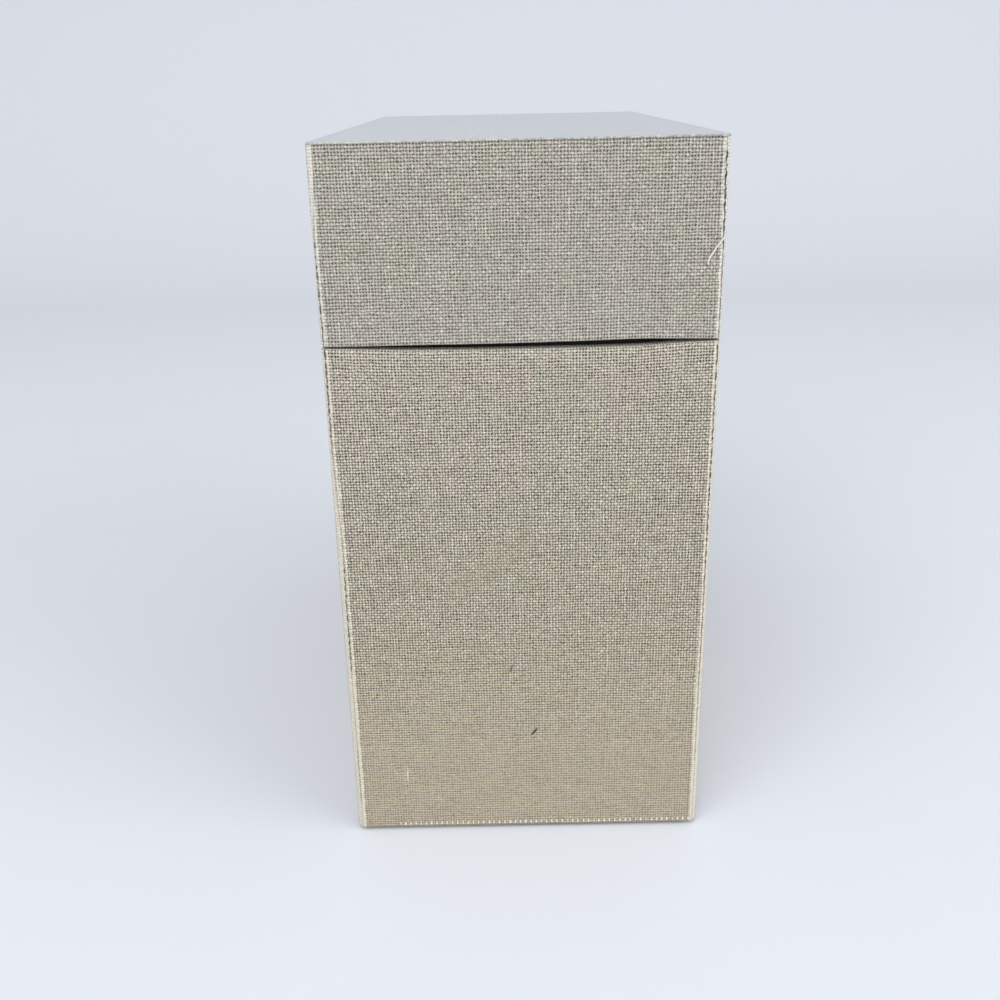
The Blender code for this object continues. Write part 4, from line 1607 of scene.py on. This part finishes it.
@dataclass(frozen=True)
class StuffedPad:
    """A thin foam pad under fabric: puffed by a cloth simulation, and flat on the side that is glued."""

    name: str
    low: Vector
    high: Vector
    swell: float
    seed: float
    upside_down: bool = False
    enlarged: float = 10.0
    room: float = 1.4
    rounding: float = 0.30
    voxel: float = 16.0 * MM
    stiffness_steps: int = 5
    pressure: float = 4.0
    frames: int = 20
    crown_power: float = 2.2
    edge_drop: float = 0.34
    ripple: float = 0.018

    def build(self) -> bpy.types.Object:
        """Makes the pad inside the space between its low and high corners.

        Returns:
            The piece.
        """
        start = (self.high - self.low) * self.enlarged
        start -= Vector((1, 1, 1)) * self.swell * self.enlarged * self.room
        bpy.ops.mesh.primitive_cube_add(size=1.0)
        piece = bpy.context.object
        piece.name = piece.data.name = self.name
        piece.data.transform(Matrix.Diagonal((*start, 1.0)))
        bevel = piece.modifiers.new("rounding", "BEVEL")
        bevel.width = min(start) * self.rounding
        bevel.segments = 3
        remesh = piece.modifiers.new("even", "REMESH")
        remesh.mode = "VOXEL"
        remesh.voxel_size = self.voxel
        self.bake(piece)
        self.puff(piece)
        smooth = piece.modifiers.new("smooth", "SUBSURF")
        smooth.levels = smooth.render_levels = 1
        self.bake(piece)
        self.settle(piece)
        return piece

    def points(self, piece: bpy.types.Object) -> Grid:
        """The places of the piece's points."""
        return np.array([vertex.co for vertex in piece.data.vertices])

    def bake(self, piece: bpy.types.Object) -> None:
        """Applies the piece's modifiers."""
        view = bpy.context.evaluated_depsgraph_get()
        mesh = bpy.data.meshes.new_from_object(piece.evaluated_get(view))
        piece.modifiers.clear()
        old = piece.data
        piece.data = mesh
        bpy.data.meshes.remove(old)
        mesh.name = piece.name

    def puff(self, piece: bpy.types.Object) -> None:
        """Blows the pad up under pressure, with no point moving further than its swell."""
        before = self.points(piece)
        cloth = piece.modifiers.new("cloth", "CLOTH")
        cloth.settings.quality = self.stiffness_steps
        cloth.settings.use_pressure = True
        cloth.settings.uniform_pressure_force = self.pressure
        cloth.settings.effector_weights.gravity = 0.0
        scene = bpy.context.scene
        for step in range(1, self.frames + 1):
            scene.frame_set(step)
        self.bake(piece)
        scene.frame_set(1)
        moved = self.points(piece) - before
        far = np.linalg.norm(moved, axis=1, keepdims=True)
        moved *= np.minimum(1.0, self.swell * self.enlarged / np.maximum(far, TINY))
        piece.data.vertices.foreach_set("co", (before + moved).astype(np.float32).ravel())

    def settle(self, piece: bpy.types.Object) -> None:
        """Brings the pad to size, crowns it, flattens its glued side and puts it in its place."""
        where = self.points(piece)
        share = where / np.abs(where).max(axis=0)
        x, y, z = share.T
        crown = (1 - np.abs(x) ** self.crown_power) * (1 - np.abs(y) ** self.crown_power)
        ripples = np.sin(y * 9.0 + self.seed) * np.sin(x * 5.0 + self.seed * 2) * self.ripple
        lowered = 1.0 - self.edge_drop * (1 - crown) + ripples * (1 - crown)
        share[:, 2] = np.where(z > 0, z * lowered, np.clip(z * 1.6, -1, 0))
        place = share * np.array(self.high - self.low) / 2
        if self.upside_down:
            place[:, [0, 2]] *= -1
        place += np.array(self.low + self.high) / 2
        piece.data.vertices.foreach_set("co", place.astype(np.float32).ravel())
        piece.data.update()
        piece.data.shade_smooth()


@dataclass(frozen=True)
class LidPad:
    """The satin pad on the lid's ceiling, wrapped round its card."""

    def build(self, finishes: Finishes) -> None:
        """Builds the pad, its crown facing down."""
        card_low, card_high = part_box("lid_pad_card")
        low = Vector((card_low.x, card_low.y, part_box("lid_pad")[0].z))
        pad = StuffedPad("lid_satin_pad", low, card_high, swell=1.1 * MM, seed=1.0, upside_down=True).build()
        dress(pad, "lid", finishes.satin, ["lid_pad", "lid_pad_card"])


@dataclass(frozen=True)
class StrayYarn:
    """A yarn that has come loose at the right-hand edge of the lid's front and hangs in a small hook.

    Its points are in millimetres: across, up and out from the front.
    """

    points: tuple[tuple[float, float, float], ...] = (
        *((37.00, 128.15, -0.14), (36.80, 127.75, 0.24), (36.42, 127.3, 0.34), (35.95, 126.7, 0.32)),
        *((35.50, 126.1, 0.32), (34.85, 125.0, 0.38), (34.40, 124.4, 0.42), (34.17, 123.75, 0.44)),
        *((34.10, 123.3, 0.40), (34.33, 122.9, 0.32)),
    )
    radius: float = 0.175 * MM
    core: float = 0.3
    tip: float = 0.35
    taper: float = 9.0
    yarn_length: float = 0.5 * MM
    sides: int = 8
    steps: int = 6

    def build(self, finishes: Finishes) -> None:
        """Builds the yarn as a tube with pointed ends."""
        across, up, out = (np.array(self.points) * MM).T
        line = np.stack([across, -PLAN.depth / 2 - out, up], axis=1)
        fine = np.linspace(0, len(line) - 1, (len(line) - 1) * self.steps + 1)
        line = np.stack([curve_through(line[:, axis], fine) for axis in range(3)], axis=1)
        way = np.gradient(line, axis=0)
        way /= np.linalg.norm(way, axis=1, keepdims=True)
        aside = np.cross(way, [0.0, 1.0, 0.0])
        aside /= np.linalg.norm(aside, axis=1, keepdims=True)
        above = np.cross(aside, way)
        share = np.linspace(0, 1, len(line))
        from_tip = np.minimum(1, np.minimum(share, 1 - share) * self.taper)
        thick = self.radius * (self.tip + (1 - self.tip) * from_tip)
        turns = (np.arange(self.sides) * 2 * math.pi / self.sides)[:, None]
        spoke = aside[:, None] * np.cos(turns) + above[:, None] * np.sin(turns)
        ring = [line[:, None] + thick[:, None, None] * scale * spoke for scale in (1.0, self.core)]
        length = np.r_[0, np.cumsum(steps_of(line))] / self.yarn_length
        columns = np.arange(self.sides + 1) / self.sides
        yarns = np.stack(np.broadcast_arrays(columns[None, :], length[:, None]), axis=2)
        dress(solid_between("lid_stray_yarn", *ring, yarns, around=True), "lid", finishes.yarn)


@dataclass(frozen=True)
class Lamp:
    """A soft square lamp: where it stands, how wide it is and its power in watts."""

    name: str
    place: tuple[float, float, float]
    size: float
    power: float


@dataclass(frozen=True)
class Studio:
    """The pale floor that curves up into a backdrop, the soft light and the camera.

    Past the backdrop's edges a plain colour of its tone shows, which lights nothing.
    """

    floor: Colour = (0.875, 0.915, 0.995)
    distance: Colour = (0.74, 0.78, 0.87)
    bounce: Colour = (0.66, 0.65, 0.64)
    grain: tuple[float, float, float] = (40.0, 3.0, 0.5)
    grain_tone: float = 0.985
    roughness: float = 0.9
    gloss: float = 0.2
    sky_colour: Colour = (0.97, 0.98, 1.0)
    sky: float = 0.66
    lamp_colour: Colour = (1.0, 0.99, 0.97)
    lamps: tuple[Lamp, ...] = (
        Lamp("key", (-0.35, -0.75, 0.95), 0.9, 5.0),
        Lamp("fill", (0.85, -0.45, 0.5), 0.8, 3.0),
    )
    lit_at: tuple[float, float, float] = (0.0, 0.0, 0.07)
    floor_reach: float = 1.5
    half_width: float = 9.0
    wall_at: float = 0.55
    wall_height: float = 1.6
    cove: float = 0.35
    cove_steps: int = 12
    yaw: float = -0.186
    pitch: float = 21.008
    roll: float = -1.210
    lens: float = 39.265
    film_width: float = 36.0
    nearest: float = 0.01
    farthest: float = 20.0
    eye: tuple[float, float, float] = (-3.856, -274.543, 154.845)

    def build(self) -> None:
        """Sets the stage."""
        self.lay_floor()
        self.light()
        self.aim()
        bpy.context.scene.view_settings.view_transform = "Standard"

    def plainly_seen(self, tree: bpy.types.NodeTree) -> bpy.types.NodeSocket:
        """Nodes that tell rays which show the background as it is painted from rays which light the box.

        Args:
            tree: The floor's or the world's nodes.

        Returns:
            1 for a camera, glossy or transmission ray, and 0 for any other.
        """
        rays = tree.nodes.new("ShaderNodeLightPath")
        share = rays.outputs["Is Camera Ray"]
        for kind in ("Is Glossy Ray", "Is Transmission Ray"):
            larger = tree.nodes.new("ShaderNodeMath")
            larger.operation = "MAXIMUM"
            tree.links.new(share, larger.inputs[0])
            tree.links.new(rays.outputs[kind], larger.inputs[1])
            share = larger.outputs[0]
        return share

    def lay_floor(self) -> None:
        """Makes the floor and backdrop as one curved sheet."""
        run = [(-self.floor_reach, 0.0)]
        for step in range(self.cove_steps + 1):
            turn = math.pi / 2 * step / self.cove_steps
            run.append((self.wall_at + self.cove * math.sin(turn), self.cove * (1 - math.cos(turn))))
        run.append((self.wall_at + self.cove, self.wall_height))
        points = [(x, y, z) for y, z in run for x in (-self.half_width, self.half_width)]
        faces = [(2 * i, 2 * i + 1, 2 * i + 3, 2 * i + 2) for i in range(len(run) - 1)]
        mesh = bpy.data.meshes.new("studio_floor")
        mesh.from_pydata(points, [], faces)
        mesh.shade_smooth()
        floor = placed("studio_floor", mesh)
        sh = Shader("studio_floor")
        grain = sh.noise(sh.place(), *self.grain)
        paint = sh.mix(grain, self.floor, tuple(level * self.grain_tone for level in self.floor))
        paint = sh.mix(Signal(sh, self.plainly_seen(sh.tree)), self.bounce, paint)
        mesh.materials.append(sh.finish(paint, self.roughness, Specular_IOR_Level=self.gloss))

    def light(self) -> None:
        """Adds the sky and the lamps."""
        world = bpy.data.worlds.new("studio_sky")
        world.use_nodes = True
        tree = world.node_tree
        sky, far = tree.nodes["Background"], tree.nodes.new("ShaderNodeBackground")
        sky.inputs["Color"].default_value = (*self.sky_colour, 1.0)
        sky.inputs["Strength"].default_value = self.sky
        far.inputs["Color"].default_value = (*self.distance, 1.0)
        mixed = tree.nodes.new("ShaderNodeMixShader")
        sources = (self.plainly_seen(tree), sky.outputs[0], far.outputs[0])
        for source, target in zip(sources, mixed.inputs):
            tree.links.new(source, target)
        tree.links.new(mixed.outputs[0], tree.nodes["World Output"].inputs["Surface"])
        bpy.context.scene.world = world
        for lamp in self.lamps:
            data = bpy.data.lights.new(lamp.name, "AREA")
            data.shape = "SQUARE"
            data.size = lamp.size
            data.energy = lamp.power
            data.color = self.lamp_colour
            holder = placed(lamp.name, data)
            holder.location = lamp.place
            aim = Vector(self.lit_at) - Vector(lamp.place)
            holder.rotation_euler = aim.to_track_quat("-Z", "Y").to_euler()

    def aim(self) -> None:
        """Puts the camera where the photograph was taken from."""
        yaw, pitch, roll = (math.radians(angle) for angle in (self.yaw, self.pitch, self.roll))
        ahead = Vector((math.sin(yaw) * math.cos(pitch), math.cos(yaw) * math.cos(pitch), -math.sin(pitch)))
        level = Vector((math.cos(yaw), -math.sin(yaw), 0.0))
        upright = level.cross(ahead)
        right = math.cos(roll) * level + math.sin(roll) * upright
        up = -math.sin(roll) * level + math.cos(roll) * upright
        data = bpy.data.cameras.new("camera")
        data.sensor_width = self.film_width
        data.lens = self.lens
        data.clip_start, data.clip_end = self.nearest, self.farthest
        camera = placed("camera", data)
        place = Matrix((right, up, -ahead)).transposed().to_4x4()
        place.translation = Vector(self.eye) * MM
        camera.matrix_world = place
        bpy.context.scene.camera = camera


def main() -> None:
    """Builds the box's pieces in order, from the base up, and then the studio round them."""
    logging.basicConfig(level=logging.INFO, format="%(message)s")
    finishes = Finishes()
    for part in (BaseShell(), Neck(), Insert(), LidShell(), LidPad(), StrayYarn()):
        part.build(finishes)
    for node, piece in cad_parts.items():
        if not piece.hide_render and node.endswith(("_board", "_packer")):
            dress_node(node, finishes.board)
    Studio().build()


if __name__ == "__main__":
    main()
